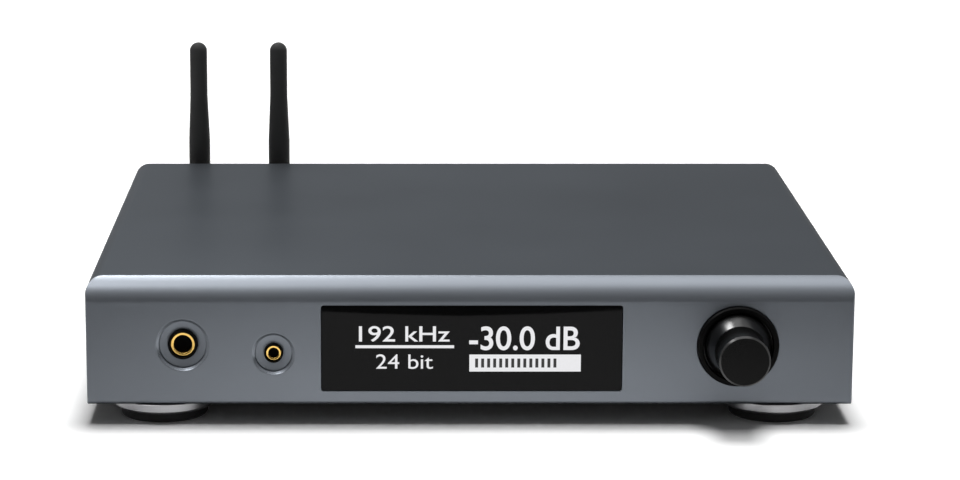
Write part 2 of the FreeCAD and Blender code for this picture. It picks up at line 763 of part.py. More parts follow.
def jack_body(x, z, nose_r, ring_r, hole_r, ring_depth, width, half_height, depth):
    """A headphone socket's body: its nose through the panel, and the housing on the jack board."""
    nose = FRONT + NOSE_INSET
    low = JACK_BOARD_TOP
    housing = block(around(x, width), (PANEL_BACK, PANEL_BACK + depth), (low, z + half_height))
    housing = housing.fuse(rod_y(x, z, (nose, PANEL_BACK + INTO), nose_r))
    ring_end = FRONT + RING_INSET + ring_depth
    housing = housing.cut(rod_y(x, z, (nose - BEYOND, ring_end), ring_r + RUNNING))
    room = 2 * (hole_r + CONTACT_ROOM)
    ends = (ring_end - INTO, PANEL_BACK + depth - HOUSING_WALL)
    return housing.cut(block(around(x, room), ends, around(z, room)))


def large_jack_body():
    return jack_body(
        LARGE_X, LARGE_Z, LARGE_NOSE_R, LARGE_RING_R, LARGE_HOLE_R, LARGE_RING_DEPTH,
        LARGE_BODY_WIDTH, LARGE_BODY_HALF_HEIGHT, LARGE_BODY_DEPTH,
    )


def small_jack_body():
    return jack_body(
        SMALL_X, SMALL_Z, SMALL_NOSE_R, SMALL_RING_R, SMALL_HOLE_R, SMALL_RING_DEPTH,
        SMALL_BODY_WIDTH, SMALL_BODY_HALF_HEIGHT, SMALL_BODY_DEPTH,
    )


# Volume control

def knob():
    """The knob: flared skirt, smooth grip and flat cap, hollow behind for the nut."""
    rear = FRONT - PRESS_TRAVEL - PRESS_GAP
    rim = FRONT - SKIRT_RIM
    cap = FRONT - KNOB_REACH
    middle = (SKIRT_MIDDLE[0], FRONT - SKIRT_MIDDLE[1])
    neck = cap + GRIP_CHAMFER + GRIP_LENGTH
    turned = turned_y(
        KNOB_X,
        KNOB_Z,
        (KNOB_HOLLOW_R, rear),
        [
            (SKIRT_R, rear),
            (SKIRT_R, rim),
            middle,
            (GRIP_R, neck),
            (GRIP_R, cap + GRIP_CHAMFER),
            (GRIP_R - GRIP_CHAMFER, cap),
            (0, cap),
            (0, insert_back()),
            (KNOB_HOLLOW_R, insert_back()),
        ],
    )
    pocket = (insert_front() - FIT, insert_back() + INTO)
    return turned.cut(prism_y(KNOB_X, KNOB_Z, pocket, 2 * (INSERT_R + SNUG), FINE_SIDES))


def insert_front():
    """Where the insert ends inside the knob."""
    return FRONT - SHAFT_OUT - INSERT_END_WALL


def insert_back():
    """The floor of the knob's hollow, which clears the end of the bush when the knob is pushed."""
    return SEAT_Y - BUSH_OUT - PRESS_TRAVEL - BUSH_CLEAR


def shaft_section(y, radius, flat):
    """A round bar along the knob's axis with one flat on top, between two ends."""
    bar = rod_y(KNOB_X, KNOB_Z, y, radius)
    over = (y[0] - INTO, y[1] + INTO)
    above = block(around(KNOB_X, 4 * radius), over, (KNOB_Z + flat, KNOB_Z + 4 * radius))
    return bar.cut(above)


def knob_insert():
    """The splined insert that grips the encoder's shaft inside the knob."""
    hub = prism_y(KNOB_X, KNOB_Z, (insert_front(), insert_back()), 2 * INSERT_R, FINE_SIDES)
    bore = shaft_section((FRONT - SHAFT_OUT - SNUG, insert_back() + INTO), SHAFT_R + SNUG, SHAFT_FLAT + SNUG)
    return hub.cut(bore)


def knob_collar():
    """The ring that stands round the knob's skirt, seated in the panel."""
    return ring_y(KNOB_X, KNOB_Z, (FRONT - COLLAR_OUT, SEAT_Y), COLLAR_R, SKIRT_R + COLLAR_GAP)


def chamber_ends():
    """The two ends of the room for the rotor and the plunger inside the encoder."""
    return (ENCODER_FRONT + CHAMBER_WALL, FRONT_BOARD_Y - CHAMBER_WALL)


def rotor_ends():
    """The two faces of the rotor with the knob at rest."""
    front = chamber_ends()[0] + RUNNING
    return (front, front + ROTOR_T)


def encoder_body():
    """The encoder's case with its threaded bush, hollow for the rotor."""
    x = around(KNOB_X, ENCODER_WIDTH)
    case = block(x, (ENCODER_FRONT, FRONT_BOARD_Y), around(KNOB_Z, ENCODER_HEIGHT))
    case = case.fuse(rod_y(KNOB_X, KNOB_Z, (SEAT_Y - BUSH_OUT, ENCODER_FRONT + INTO), BUSH_R))
    room = 2 * CHAMBER_R
    case = case.cut(block(around(KNOB_X, room), chamber_ends(), around(KNOB_Z, room)))
    bore = rod_y(KNOB_X, KNOB_Z, (SEAT_Y - BUSH_OUT - BEYOND, chamber_ends()[0] + INTO), SHAFT_R + RUNNING)
    return case.cut(bore)


def encoder_shaft():
    """The turning shaft with the rotor at its inner end and a flat where the knob holds it."""
    front, back = rotor_ends()
    plain = rod_y(KNOB_X, KNOB_Z, (insert_back(), back), SHAFT_R)
    flat = shaft_section((FRONT - SHAFT_OUT, insert_back() + SNUG), SHAFT_R, SHAFT_FLAT)
    return plain.fuse(flat).fuse(rod_y(KNOB_X, KNOB_Z, (front, back), ROTOR_R)).removeSplitter()


def encoder_plunger():
    """The button behind the shaft that closes the switch when the knob is pushed."""
    start = rotor_ends()[1] + SNUG
    end = chamber_ends()[1] - PRESS_TRAVEL - RUNNING
    return rod_y(KNOB_X, KNOB_Z, (start, end), PLUNGER_R)


def encoder_nut():
    ends = (SEAT_Y - NUT_T, SEAT_Y)
    over = (SEAT_Y - NUT_T - BEYOND, SEAT_Y + BEYOND)
    nut = prism_y(KNOB_X, KNOB_Z, ends, NUT_ACROSS, 6)
    return nut.cut(prism_y(KNOB_X, KNOB_Z, over, 2 * (BUSH_R + RUNNING), FINE_SIDES))


# Rear sockets and switch

def inlet_outline(y, width, height, corner):
    """A mains inlet's outline, with its two upper corners cut off, between two ends."""
    x = around(INLET_X, width)
    z = around(BOTTOM + INLET_RISE, height)
    solid = block(x, y, z)
    tops = [e for e in edges_along(solid, "Y") if e.CenterOfMass.z > z[1] - INTO]
    return solid.makeChamfer(corner, tops)


def blade_places():
    """The three blades of the mains inlet, as (x, z): live, earth and neutral."""
    middle = BOTTOM + INLET_RISE
    return [(INLET_X + step * BLADE_SPACING, middle + (0 if step else BLADE_LIFT)) for step in (-1, 0, 1)]


def blade(x, z, gap):
    """One blade from near the mouth to its tail behind the inlet."""
    mouth = REAR_OUT + INLET_FLANGE[2]
    back = REAR_OUT - INLET_DEPTH - BLADE_TAIL
    width, height = BLADE_SECTION
    return block(around(x, width + 2 * gap), (back, mouth - BLADE_INSET), around(z, height + 2 * gap))


def mains_inlet():
    mouth = REAR_OUT + INLET_FLANGE[2]
    middle = BOTTOM + INLET_RISE
    flange = block(around(INLET_X, INLET_FLANGE[0]), (REAR_OUT, mouth), around(middle, INLET_FLANGE[1]))
    flange = flange.makeChamfer(FLANGE_CORNER, edges_along(flange, "Y"))
    inside = (REAR_OUT - INLET_DEPTH, REAR_OUT)
    body = block(around(INLET_X, INLET_BODY[0]), inside, around(middle, INLET_BODY[1]))
    cavity_y = (mouth - INLET_CAVITY[2], mouth + BEYOND)
    inlet = flange.fuse(body).cut(inlet_outline(cavity_y, INLET_CAVITY[0], INLET_CAVITY[1], INLET_CORNER))
    return inlet.cut(group([blade(x, z, RUNNING) for x, z in blade_places()])).removeSplitter()


def rocker_axis():
    """The rocker's pivot, as (y, z)."""
    return (REAR_OUT, BOTTOM + SWITCH_RISE)


def power_rocker():
    """The rocker with its two trunnions, tipped to one of its two places."""
    y, z = rocker_axis()
    outline = face_of(
        lambda p: Vector(SWITCH_X - ROCKER_WIDTH / 2, y + p[0], z + p[1]),
        (ROCKER_END_RISE, -ROCKER_HALF_HEIGHT),
        [
            (ROCKER_MIDDLE_RISE, 0),
            (ROCKER_END_RISE, ROCKER_HALF_HEIGHT),
            (0, ROCKER_HALF_HEIGHT),
            (-ROCKER_KEEL, ROCKER_KEEL / 2),
            (-ROCKER_KEEL, -ROCKER_KEEL / 2),
            (0, -ROCKER_HALF_HEIGHT),
        ],
    )
    rocker = outline.extrude(Vector(ROCKER_WIDTH, 0, 0))
    reach = ROCKER_WIDTH + 2 * (ROCKER_GAP + trunnion_depth())
    rocker = rocker.fuse(rod_x(around(SWITCH_X, reach), y, z, TRUNNION_R))
    rocker.rotate(Vector(SWITCH_X, y, z), Vector(1, 0, 0), ROCKER_TILT)
    return rocker


def trunnion_depth():
    """How far a trunnion enters the switch frame's side."""
    return (SWITCH_BODY[0] - ROCKER_WIDTH) / 2 - 2 * ROCKER_GAP


def power_switch_frame():
    y, z = rocker_axis()
    flange_x = around(SWITCH_X, SWITCH_FLANGE[0])
    flange_z = around(z, SWITCH_FLANGE[1])
    frame = block(flange_x, (REAR_OUT, REAR_OUT + SWITCH_FLANGE[2]), flange_z)
    frame = frame.makeChamfer(FLANGE_CORNER, edges_along(frame, "Y"))
    body_x = around(SWITCH_X, SWITCH_BODY[0])
    frame = frame.fuse(block(body_x, (REAR_OUT - SWITCH_DEPTH, REAR_OUT), around(z, SWITCH_BODY[1])))
    swing = math.hypot(ROCKER_HALF_HEIGHT, ROCKER_END_RISE) + ROCKER_GAP
    cavity_x = around(SWITCH_X, ROCKER_WIDTH + 2 * ROCKER_GAP)
    cavity_y = (REAR_OUT - SWITCH_CAVITY_DEPTH, REAR_OUT + SWITCH_FLANGE[2] + BEYOND)
    frame = frame.cut(block(cavity_x, cavity_y, around(z, 2 * swing)))
    span = around(SWITCH_X, SWITCH_BODY[0] - ROCKER_GAP)
    return frame.cut(prism_x(span, y, z, 2 * (TRUNNION_R + RUNNING), FINE_SIDES)).removeSplitter()


def post_places():
    """The four speaker terminals, as (x, z), with their names."""
    sides = {"left": POST_RISE[1], "right": POST_RISE[0]}
    poles = {"minus": POST_X[0], "plus": POST_X[1]}
    return {f"{side}_{pole}": (x, BOTTOM + rise) for side, rise in sides.items() for pole, x in poles.items()}


def post_block_ends(edge):
    """The ends along X and Z of a rectangle that stands out from the terminals' axes by an edge."""
    x = (POST_X[0] - edge, POST_X[1] + edge)
    z = (BOTTOM + POST_RISE[0] - edge, BOTTOM + POST_RISE[1] + edge)
    return x, z


def speaker_block():
    """The moulded block that insulates the four speaker terminals, with its flange outside."""
    x, z = post_block_ends(POST_BLOCK_EDGE)
    moulding = block(x, (REAR_OUT, REAR_OUT + POST_BLOCK_T), z)
    moulding = moulding.makeChamfer(FLANGE_CORNER, edges_along(moulding, "Y"))
    x, z = post_block_ends(POST_BLOCK_EDGE - POST_BLOCK_STEP)
    moulding = moulding.fuse(block(x, (REAR_OUT - POST_BLOCK_DEPTH, REAR_OUT), z))
    over = (REAR_OUT - POST_BLOCK_DEPTH - BEYOND, REAR_OUT + POST_BLOCK_T + BEYOND)
    holes = [prism_y(x, z, over, 2 * (STUD_R + RUNNING), FINE_SIDES) for x, z in post_places().values()]
    return moulding.cut(group(holes)).removeSplitter()


def speaker_stud(x, z):
    """The metal stud of a speaker terminal, with its bore for a plug."""
    end = BACK + POST_REACH - STUD_INSET
    stud = prism_y(x, z, (REAR_IN - STUD_TAIL, end), 2 * STUD_R, FINE_SIDES)
    return stud.cut(prism_y(x, z, (end - PLUG_DEPTH, end + BEYOND), 2 * PLUG_R, FINE_SIDES))


def speaker_cap(x, z):
    """The screw cap of a speaker terminal, open through its length for a plug."""
    start = REAR_OUT + POST_BLOCK_T + FIT
    end = BACK + POST_REACH
    cap = prism_y(x, z, (start, end), CAP_ACROSS, FINE_SIDES)
    rims = [e for e in cap.Edges if e.BoundBox.YMin > end - 0.01]
    cap = cap.makeChamfer(CAP_CHAMFER, rims)
    return cap.cut(prism_y(x, z, (start - BEYOND, end + BEYOND), 2 * (STUD_R + RUNNING), FINE_SIDES))


def line_places():
    """The stacked pair of line sockets, as (x, z)."""
    return [(LINE_X, BOTTOM + rise) for rise in LINE_RISE]


def line_shell(x, z):
    """The metal shell of a line socket, through the rear panel."""
    ends = (REAR_IN, REAR_OUT + LINE_REACH)
    over = (ends[0] - BEYOND, ends[1] + BEYOND)
    shell = prism_y(x, z, ends, 2 * LINE_SHELL_R, ROUND_SIDES)
    return shell.cut(prism_y(x, z, over, 2 * (LINE_SHELL_R - LINE_SHELL_WALL), ROUND_SIDES))


def line_insulator(x, z):
    """The insulator inside a line socket's shell, with the hole for the plug's pin."""
    end = REAR_OUT + LINE_REACH - LINE_INSET
    across = 2 * (LINE_SHELL_R - LINE_SHELL_WALL - RUNNING)
    core = prism_y(x, z, (REAR_IN, end), across, ROUND_SIDES)
    return core.cut(prism_y(x, z, (end - LINE_PIN_DEPTH, end + BEYOND), 2 * LINE_PIN_R, SCREW_SIDES))


def line_body():
    """The moulded block that carries the line sockets on the main board."""
    top = BOTTOM + LINE_RISE[1] + LINE_BODY_WIDTH / 2
    return block(around(LINE_X, LINE_BODY_WIDTH), (REAR_IN - LINE_BODY_DEPTH, REAR_IN), (BOARD_TOP, top))


def board_socket(x, size, mouth, sill):
    """A socket on the main board's back edge: its body with an opening at the back."""
    width, height, depth = size
    out = REAR_OUT + SOCKET_PROUD
    body = block(around(x, width), (out - depth, out), (BOARD_TOP, BOARD_TOP + height))
    low = BOARD_TOP + sill
    opening = block(around(x, mouth[0]), (out - mouth[2], out + BEYOND), (low, low + mouth[1]))
    return body, opening


def network_socket():
    body, opening = board_socket(NETWORK_X, NETWORK_SIZE, NETWORK_MOUTH, NETWORK_SILL)
    out = REAR_OUT + SOCKET_PROUD
    top = BOARD_TOP + NETWORK_SILL + NETWORK_MOUTH[1]
    latch = block(
        around(NETWORK_X, NETWORK_LATCH[0]),
        (out - NETWORK_MOUTH[2], out + BEYOND),
        (top - INTO, top + NETWORK_LATCH[1]),
    )
    return body.cut(opening.fuse(latch))


def usb_socket():
    sill = (USB_SIZE[1] - USB_MOUTH[1]) / 2
    body, opening = board_socket(USB_X, USB_SIZE, USB_MOUTH, sill)
    out = REAR_OUT + SOCKET_PROUD
    high = BOARD_TOP + sill + USB_MOUTH[1] - USB_TONGUE_DROP
    tongue = block(
        around(USB_X, USB_TONGUE[0]),
        (out - USB_MOUTH[2] - INTO, out - USB_MOUTH[2] + USB_TONGUE[2]),
        (high - USB_TONGUE[1], high),
    )
    return body.cut(opening).fuse(tongue).removeSplitter()


def optical_socket():
    sill = (OPTICAL_SIZE[1] - OPTICAL_MOUTH[1]) / 2
    body, opening = board_socket(OPTICAL_X, OPTICAL_SIZE, OPTICAL_MOUTH, sill)
    tops = [e for e in edges_along(opening, "Y") if e.CenterOfMass.z > BOARD_TOP + OPTICAL_SIZE[1] / 2]
    opening = opening.makeChamfer(OPTICAL_CORNER, tops)
    return body.cut(opening)


# Aerials

def aerial_socket(x):
    """The threaded aerial socket through the rear panel, with its hexagonal flange."""
    ends = (REAR_IN - SMA_TAIL, REAR_OUT + SMA_REACH)
    barrel = prism_y(x, AERIAL_Z, ends, 2 * SMA_R * TURNING, FINE_SIDES)
    return barrel.fuse(prism_y(x, AERIAL_Z, (REAR_OUT, REAR_OUT + SMA_FLANGE_T), SMA_FLANGE_ACROSS, 6))


def elbow_start():
    """Where an aerial's elbow begins behind the coupling nut."""
    return AERIAL_Y - TONGUE_R - CHEEK_CLEAR - ELBOW_WALL


def aerial_coupling(x):
    """The nut that holds an aerial to its socket and lets its elbow swivel."""
    start = REAR_OUT + SMA_FLANGE_T + FIT
    end = elbow_start() - ELBOW_GAP
    nut = prism_y(x, AERIAL_Z, (start, end), COUPLING_ACROSS, 6)
    return nut.cut(prism_y(x, AERIAL_Z, (start - BEYOND, end + BEYOND), 2 * (SMA_R + FIT), FINE_SIDES))


def aerial_elbow(x):
    """The elbow that turns in the coupling nut: a round spigot and the two cheeks of the hinge."""
    start = elbow_start()
    width = 2 * AERIAL_R
    span = around(x, width)
    elbow = block(span, (start, AERIAL_Y), around(AERIAL_Z, width))
    elbow = elbow.fuse(rod_x(span, AERIAL_Y, AERIAL_Z, AERIAL_R)).removeSplitter()
    slot_y = (start + ELBOW_WALL, AERIAL_Y + width)
    gap = TONGUE_T + 2 * TONGUE_GAP
    elbow = elbow.cut(block(around(x, gap), slot_y, around(AERIAL_Z, 2 * width)))
    pockets = around(x, TONGUE_T + 2 * (BOSS_REACH + TONGUE_GAP))
    elbow = elbow.cut(prism_x(pockets, AERIAL_Y, AERIAL_Z, 2 * (BOSS_R + RUNNING), FINE_SIDES))
    spigot = rod_y(x, AERIAL_Z, (start - ELBOW_GAP - SPIGOT_DEPTH, start), SMA_R)
    return elbow.fuse(spigot)


def aerial_whip(x):
    """The upright rod on its hinge tongue: a full lower part, a taper and a slim rounded end."""
    start = AERIAL_Z + AERIAL_R + CHEEK_CLEAR
    round_z = BOTTOM + AERIAL_TOP_RISE - AERIAL_TIP_R
    rows = [(AERIAL_R, start), (AERIAL_R, BOTTOM + TAPER_START), (AERIAL_TIP_R, BOTTOM + TAPER_END)]
    for step in range(TIP_STEPS + 1):
        angle = math.pi / 2 * step / TIP_STEPS
        rows.append((AERIAL_TIP_R * math.cos(angle), round_z + AERIAL_TIP_R * math.sin(angle)))
    rod = tapered_rod(x, AERIAL_Y, rows)
    span = around(x, TONGUE_T)
    tongue = rod_x(span, AERIAL_Y, AERIAL_Z, TONGUE_R)
    tongue = tongue.fuse(block(span, around(AERIAL_Y, 2 * TONGUE_R), (AERIAL_Z, start)))
    bosses = around(x, TONGUE_T + 2 * BOSS_REACH)
    tongue = tongue.fuse(prism_x(bosses, AERIAL_Y, AERIAL_Z, 2 * BOSS_R * TURNING, FINE_SIDES))
    return rod.fuse(tongue).removeSplitter()


# Boards and what stands on them

def board_spans():
    """The flat boards, as the ends along X and along Y."""
    main_back = REAR_IN - MAIN_BOARD_BACK
    power_front = FRONT + POWER_BOARD_FRONT
    jack_front = PANEL_BACK + JACK_BOARD_FRONT
    return {
        "main": (MAIN_BOARD_X, (main_back - MAIN_BOARD_DEPTH, main_back)),
        "power": (POWER_BOARD_X, (power_front, power_front + POWER_BOARD_DEPTH)),
        "jack": (JACK_BOARD_X, (jack_front, jack_front + JACK_BOARD_DEPTH)),
    }


def board_top(name):
    """The upper face of a flat board."""
    return JACK_BOARD_TOP if name == "jack" else BOARD_TOP


def fixing_places(name):
    """Where a flat board's standoffs are, as (x, y), in from its four sides."""
    x, y = board_spans()[name]
    (left, right), (front, back) = FIXING_INSETS[name]
    return [(px, py) for px in (x[0] + left, x[1] - right) for py in (y[0] + front, y[1] - back)]


def flat_board(name):
    x, y = board_spans()[name]
    top = board_top(name)
    return block(x, y, (top - BOARD_T, top))


def front_fixing_places():
    """Where the front board's spacers are, as (x, z)."""
    low, high = (BOTTOM + rise for rise in FRONT_BOARD_RISE)
    ends = (FRONT_BOARD_X[0] + POST_INSET, FRONT_BOARD_X[1] - POST_INSET)
    return [(x, z) for x in ends for z in (low + POST_INSET, high - POST_INSET)]


def front_board():
    z = (BOTTOM + FRONT_BOARD_RISE[0], BOTTOM + FRONT_BOARD_RISE[1])
    return block(FRONT_BOARD_X, (FRONT_BOARD_Y, FRONT_BOARD_Y + BOARD_T), z)


def standoffs():
    """The hexagonal standoffs under the flat boards and the spacers behind the front panel."""
    solids = []
    for name in ("main", "power", "jack"):
        height = board_top(name) - BOARD_T - BASE_TOP
        for x, y in fixing_places(name):
            solids.append(prism_z(x, y, (BASE_TOP, BASE_TOP + height), STANDOFF_ACROSS, 6))
    for x, z in front_fixing_places():
        solids.append(prism_y(x, z, (PANEL_BACK, FRONT_BOARD_Y), STANDOFF_ACROSS, 6))
    return group(solids)


def board_screws():
    """The heads of the screws that hold the boards to their standoffs and spacers."""
    solids = []
    for name in ("main", "power", "jack"):
        for x, y in fixing_places(name):
            top = board_top(name)
            solids.append(prism_z(x, y, (top, top + M3_HEAD_T), M3_ACROSS, 6))
    face = FRONT_BOARD_Y + BOARD_T
    for x, z in front_fixing_places():
        solids.append(prism_y(x, z, (face, face + M3_HEAD_T), M3_ACROSS, 6))
    return group(solids)


def heatsink_place():
    """The middle of the heatsink, as (x, y)."""
    x, y = board_spans()["power"]
    return (x[0] + POST_INSET + STANDOFF_ACROSS + HEATSINK_WIDTH / 2, sum(y) / 2)


def heatsink():
    """The extruded heatsink: a base across the amplifier chips and upright fins."""
    x, y = heatsink_place()
    low = BOARD_TOP + CHIP_SIZE[2]
    span = around(y, HEATSINK_LENGTH)
    sink = block(around(x, HEATSINK_WIDTH), span, (low, low + HEATSINK_BASE_T))
    pitch = (HEATSINK_WIDTH - FIN_T) / (FIN_COUNT - 1)
    for number in range(FIN_COUNT):
        fin_x = x + (number - (FIN_COUNT - 1) / 2) * pitch
        sink = sink.fuse(block(around(fin_x, FIN_T), span, (low, low + HEATSINK_HEIGHT)))
    return sink.removeSplitter()


def amplifier_chips():
    """The two output chips under the heatsink."""
    x, y = heatsink_place()
    z = (BOARD_TOP, BOARD_TOP + CHIP_SIZE[2])
    places = around(y, HEATSINK_LENGTH / 2)
    return group([block(around(x, CHIP_SIZE[0]), around(place, CHIP_SIZE[1]), z) for place in places])


def transformer_place():
    """The middle of the transformer, as (x, y)."""
    x, y = board_spans()["power"]
    right = x[1] - POST_INSET - STANDOFF_ACROSS
    return (right - CORE_SIZE[0] / 2, y[1] - 2 * POST_INSET - STANDOFF_ACROSS - CORE_SIZE[1] / 2)


def core_windows():
    """The two windows of the transformer's core, as ends along X, and their ends along Y."""
    x, y = transformer_place()
    half = CORE_SIZE[0] / 2
    side = (CORE_LEG, half - CORE_LEG)
    return [(x - side[1], x - side[0]), (x + side[0], x + side[1])], around(y, CORE_SIZE[1] - 2 * CORE_YOKE)


def transformer_core():
    x, y = transformer_place()
    core = block(around(x, CORE_SIZE[0]), around(y, CORE_SIZE[1]), (BOARD_TOP, BOARD_TOP + CORE_SIZE[2]))
    windows, span = core_windows()
    over = (BOARD_TOP - BEYOND, BOARD_TOP + CORE_SIZE[2] + BEYOND)
    return core.cut(group([block(window, span, over) for window in windows]))


def transformer_winding():
    """The winding round the core's middle leg, flush with the ends of the core."""
    x, y = transformer_place()
    windows, span = core_windows()
    outer = (windows[0][0] + WINDING_GAP, windows[1][1] - WINDING_GAP)
    length = (span[0] + WINDING_GAP, span[1] - WINDING_GAP)
    z = (BOARD_TOP, BOARD_TOP + CORE_SIZE[2])
    leg = (windows[0][1] - WINDING_GAP, windows[1][0] + WINDING_GAP)
    halves = []
    for ends in ((outer[0], leg[0]), (leg[1], outer[1])):
        halves.append(block(ends, length, z))
    return group(halves)


def capacitors():
    """The reservoir capacitors in a line in front of the transformer."""
    x, y = transformer_place()
    first = y - CORE_SIZE[1] / 2 - CAPACITOR_R - POST_INSET
    solids = []
    for number in range(CAPACITOR_COUNT):
        place = first - number * CAPACITOR_PITCH
        z = (BOARD_TOP, BOARD_TOP + CAPACITOR_HEIGHT)
        solids.append(prism_z(x, place, z, 2 * CAPACITOR_R, ROUND_SIDES))
    return group(solids)


def streamer_module():
    """The wireless module under its shield, behind the aerial sockets."""
    x = sum(AERIAL_X) / 2
    y = board_spans()["main"][1]
    place = y[0] + SHIELD_SIZE[1] / 2 + SHIELD_INSET
    z = (BOARD_TOP, BOARD_TOP + SHIELD_SIZE[2])
    return block(around(x, SHIELD_SIZE[0]), around(place, SHIELD_SIZE[1]), z)


def header_places():
    """The two headers of the ribbon cable: on the front board, and at the main board's front edge."""
    main_front = board_spans()["main"][1][0]
    x = MAIN_BOARD_X[1] - RIBBON_WIDTH
    high = BOTTOM + sum(FRONT_BOARD_RISE) / 2
    front_y = FRONT_BOARD_Y + BOARD_T
    return (x, front_y, high), (x, main_front, BOARD_TOP + HEADER_SIZE[2] / 2)


def ribbon_headers():
    width, depth, height = HEADER_SIZE
    (x, front_y, high), (_, main_y, low) = header_places()
    front = block(around(x, width), (front_y, front_y + depth), around(high, height))
    rear = block(around(x, width), (main_y, main_y + depth), around(low, height))
    return group([front, rear])


def ribbon_cable():
    """The flat cable between the two headers, level at each end and sloped between."""
    (x, front_y, high), (_, main_y, low) = header_places()
    start = front_y + HEADER_SIZE[1]
    first = start + RIBBON_LEVEL
    last = main_y - RIBBON_LEVEL
    half = RIBBON_T / 2
    upper = [(first, high + half), (last, low + half), (main_y, low + half)]
    lower = [(main_y, low - half), (last, low - half), (first, high - half), (start, high - half)]
    face = face_of(lambda p: Vector(x - RIBBON_WIDTH / 2, p[0], p[1]), (start, high + half), upper + lower)
    return face.extrude(Vector(RIBBON_WIDTH, 0, 0))


def build():
    """Every sub-part under its name."""
    parts = {
        "front_panel": front_panel(),
        "top_cover": top_cover(),
        "base_plate": base_plate(),
        "rear_panel": rear_panel(),
        "display_window": display_window(),
        "display_module": display_module(),
        "large_jack_body": large_jack_body(),
        "large_jack_ring": jack_ring(LARGE_X, LARGE_Z, LARGE_RING_R, LARGE_HOLE_R, LARGE_RING_DEPTH),
        "small_jack_body": small_jack_body(),
        "small_jack_ring": jack_ring(SMALL_X, SMALL_Z, SMALL_RING_R, SMALL_HOLE_R, SMALL_RING_DEPTH),
        "knob_collar": knob_collar(),
        "volume_knob": knob(),
        "knob_insert": knob_insert(),
        "encoder_body": encoder_body(),
        "encoder_shaft": encoder_shaft(),
        "encoder_plunger": encoder_plunger(),
        "encoder_nut": encoder_nut(),
        "mains_inlet": mains_inlet(),
        "mains_blades": group([blade(x, z, 0) for x, z in blade_places()]),
        "power_switch_frame": power_switch_frame(),
        "power_rocker": power_rocker(),
        "speaker_block": speaker_block(),
        "speaker_studs": group([speaker_stud(x, z) for x, z in post_places().values()]),
        "line_socket_body": line_body(),
        "line_socket_shells": group([line_shell(x, z) for x, z in line_places()]),
        "line_socket_insulators": group([line_insulator(x, z) for x, z in line_places()]),
        "network_socket": network_socket(),
        "usb_socket": usb_socket(),
        "optical_socket": optical_socket(),
        "aerial_sockets": group([aerial_socket(x) for x in AERIAL_X]),
        "aerial_couplings": group([aerial_coupling(x) for x in AERIAL_X]),
        "front_board": front_board(),
        "main_board": flat_board("main"),
        "power_board": flat_board("power"),
        "jack_board": flat_board("jack"),
        "standoffs": standoffs(),
        "board_screws": board_screws(),
        "case_screws": group([case_screw(x, y) for x, y in lip_screw_places() + rear_screw_places()]),
        "panel_screws": group([panel_screw(*tab_screw_place(x)) for x in TAB_PLACES]),
        "feet": group([foot(x, y) for x, y in foot_places()]),
        "foot_pads": group([foot_pad(x, y) for x, y in foot_places()]),
        "foot_screws": group([foot_screw(x, y) for x, y in foot_places()]),
        "heatsink": heatsink(),
        "amplifier_chips": amplifier_chips(),
        "transformer_core": transformer_core(),
        "transformer_winding": transformer_winding(),
        "capacitors": capacitors(),
        "streamer_module": streamer_module(),
        "ribbon_headers": ribbon_headers(),
        "ribbon_cable": ribbon_cable(),
    }
    for name, (x, z) in post_places().items():
        parts[f"speaker_cap_{name}"] = speaker_cap(x, z)
    for side, x in zip(("left", "right"), AERIAL_X):
        parts[f"aerial_elbow_{side}"] = aerial_elbow(x)
        parts[f"aerial_whip_{side}"] = aerial_whip(x)
    return parts


os.makedirs("parts", exist_ok=True)
for node, shape in build().items():
    shape.exportStep(f"parts/{node}.step")
    box = shape.BoundBox
    spans = ((box.XMin, box.XMax), (box.YMin, box.YMax), (box.ZMin, box.ZMax))
    ends = ", ".join(f"{low:.1f} to {high:.1f}" for low, high in spans)
    print(f"{node}: {len(shape.Solids)} solids, valid {shape.isValid()}, volume {shape.Volume:.1f}, {ends}")
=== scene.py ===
import json
import math
import random

import bmesh
import bpy
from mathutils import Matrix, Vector, geometry
from mathutils.bvhtree import BVHTree


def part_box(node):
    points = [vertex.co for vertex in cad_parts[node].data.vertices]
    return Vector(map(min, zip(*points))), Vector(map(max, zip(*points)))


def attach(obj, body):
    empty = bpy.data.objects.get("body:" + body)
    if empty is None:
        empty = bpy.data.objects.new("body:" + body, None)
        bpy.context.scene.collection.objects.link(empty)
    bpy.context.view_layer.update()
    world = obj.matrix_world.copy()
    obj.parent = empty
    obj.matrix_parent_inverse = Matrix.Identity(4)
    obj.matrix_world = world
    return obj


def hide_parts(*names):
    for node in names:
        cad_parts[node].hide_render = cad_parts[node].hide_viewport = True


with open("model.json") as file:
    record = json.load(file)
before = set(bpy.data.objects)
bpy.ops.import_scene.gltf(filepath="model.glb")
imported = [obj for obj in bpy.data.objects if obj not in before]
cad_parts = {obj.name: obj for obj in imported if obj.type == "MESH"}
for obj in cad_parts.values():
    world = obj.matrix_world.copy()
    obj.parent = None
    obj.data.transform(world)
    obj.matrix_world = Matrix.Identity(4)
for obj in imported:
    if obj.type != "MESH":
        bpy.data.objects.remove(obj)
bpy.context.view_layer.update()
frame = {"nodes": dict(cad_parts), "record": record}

# Millimetres in the frame's metres
MM = 0.001


def mm(*values):
    """Lengths in millimetres, in the frame's metres."""
    return tuple(value * MM for value in values)


def middle(node):
    """The middle of a CAD node's box."""
    low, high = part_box(node)
    return (low + high) / 2


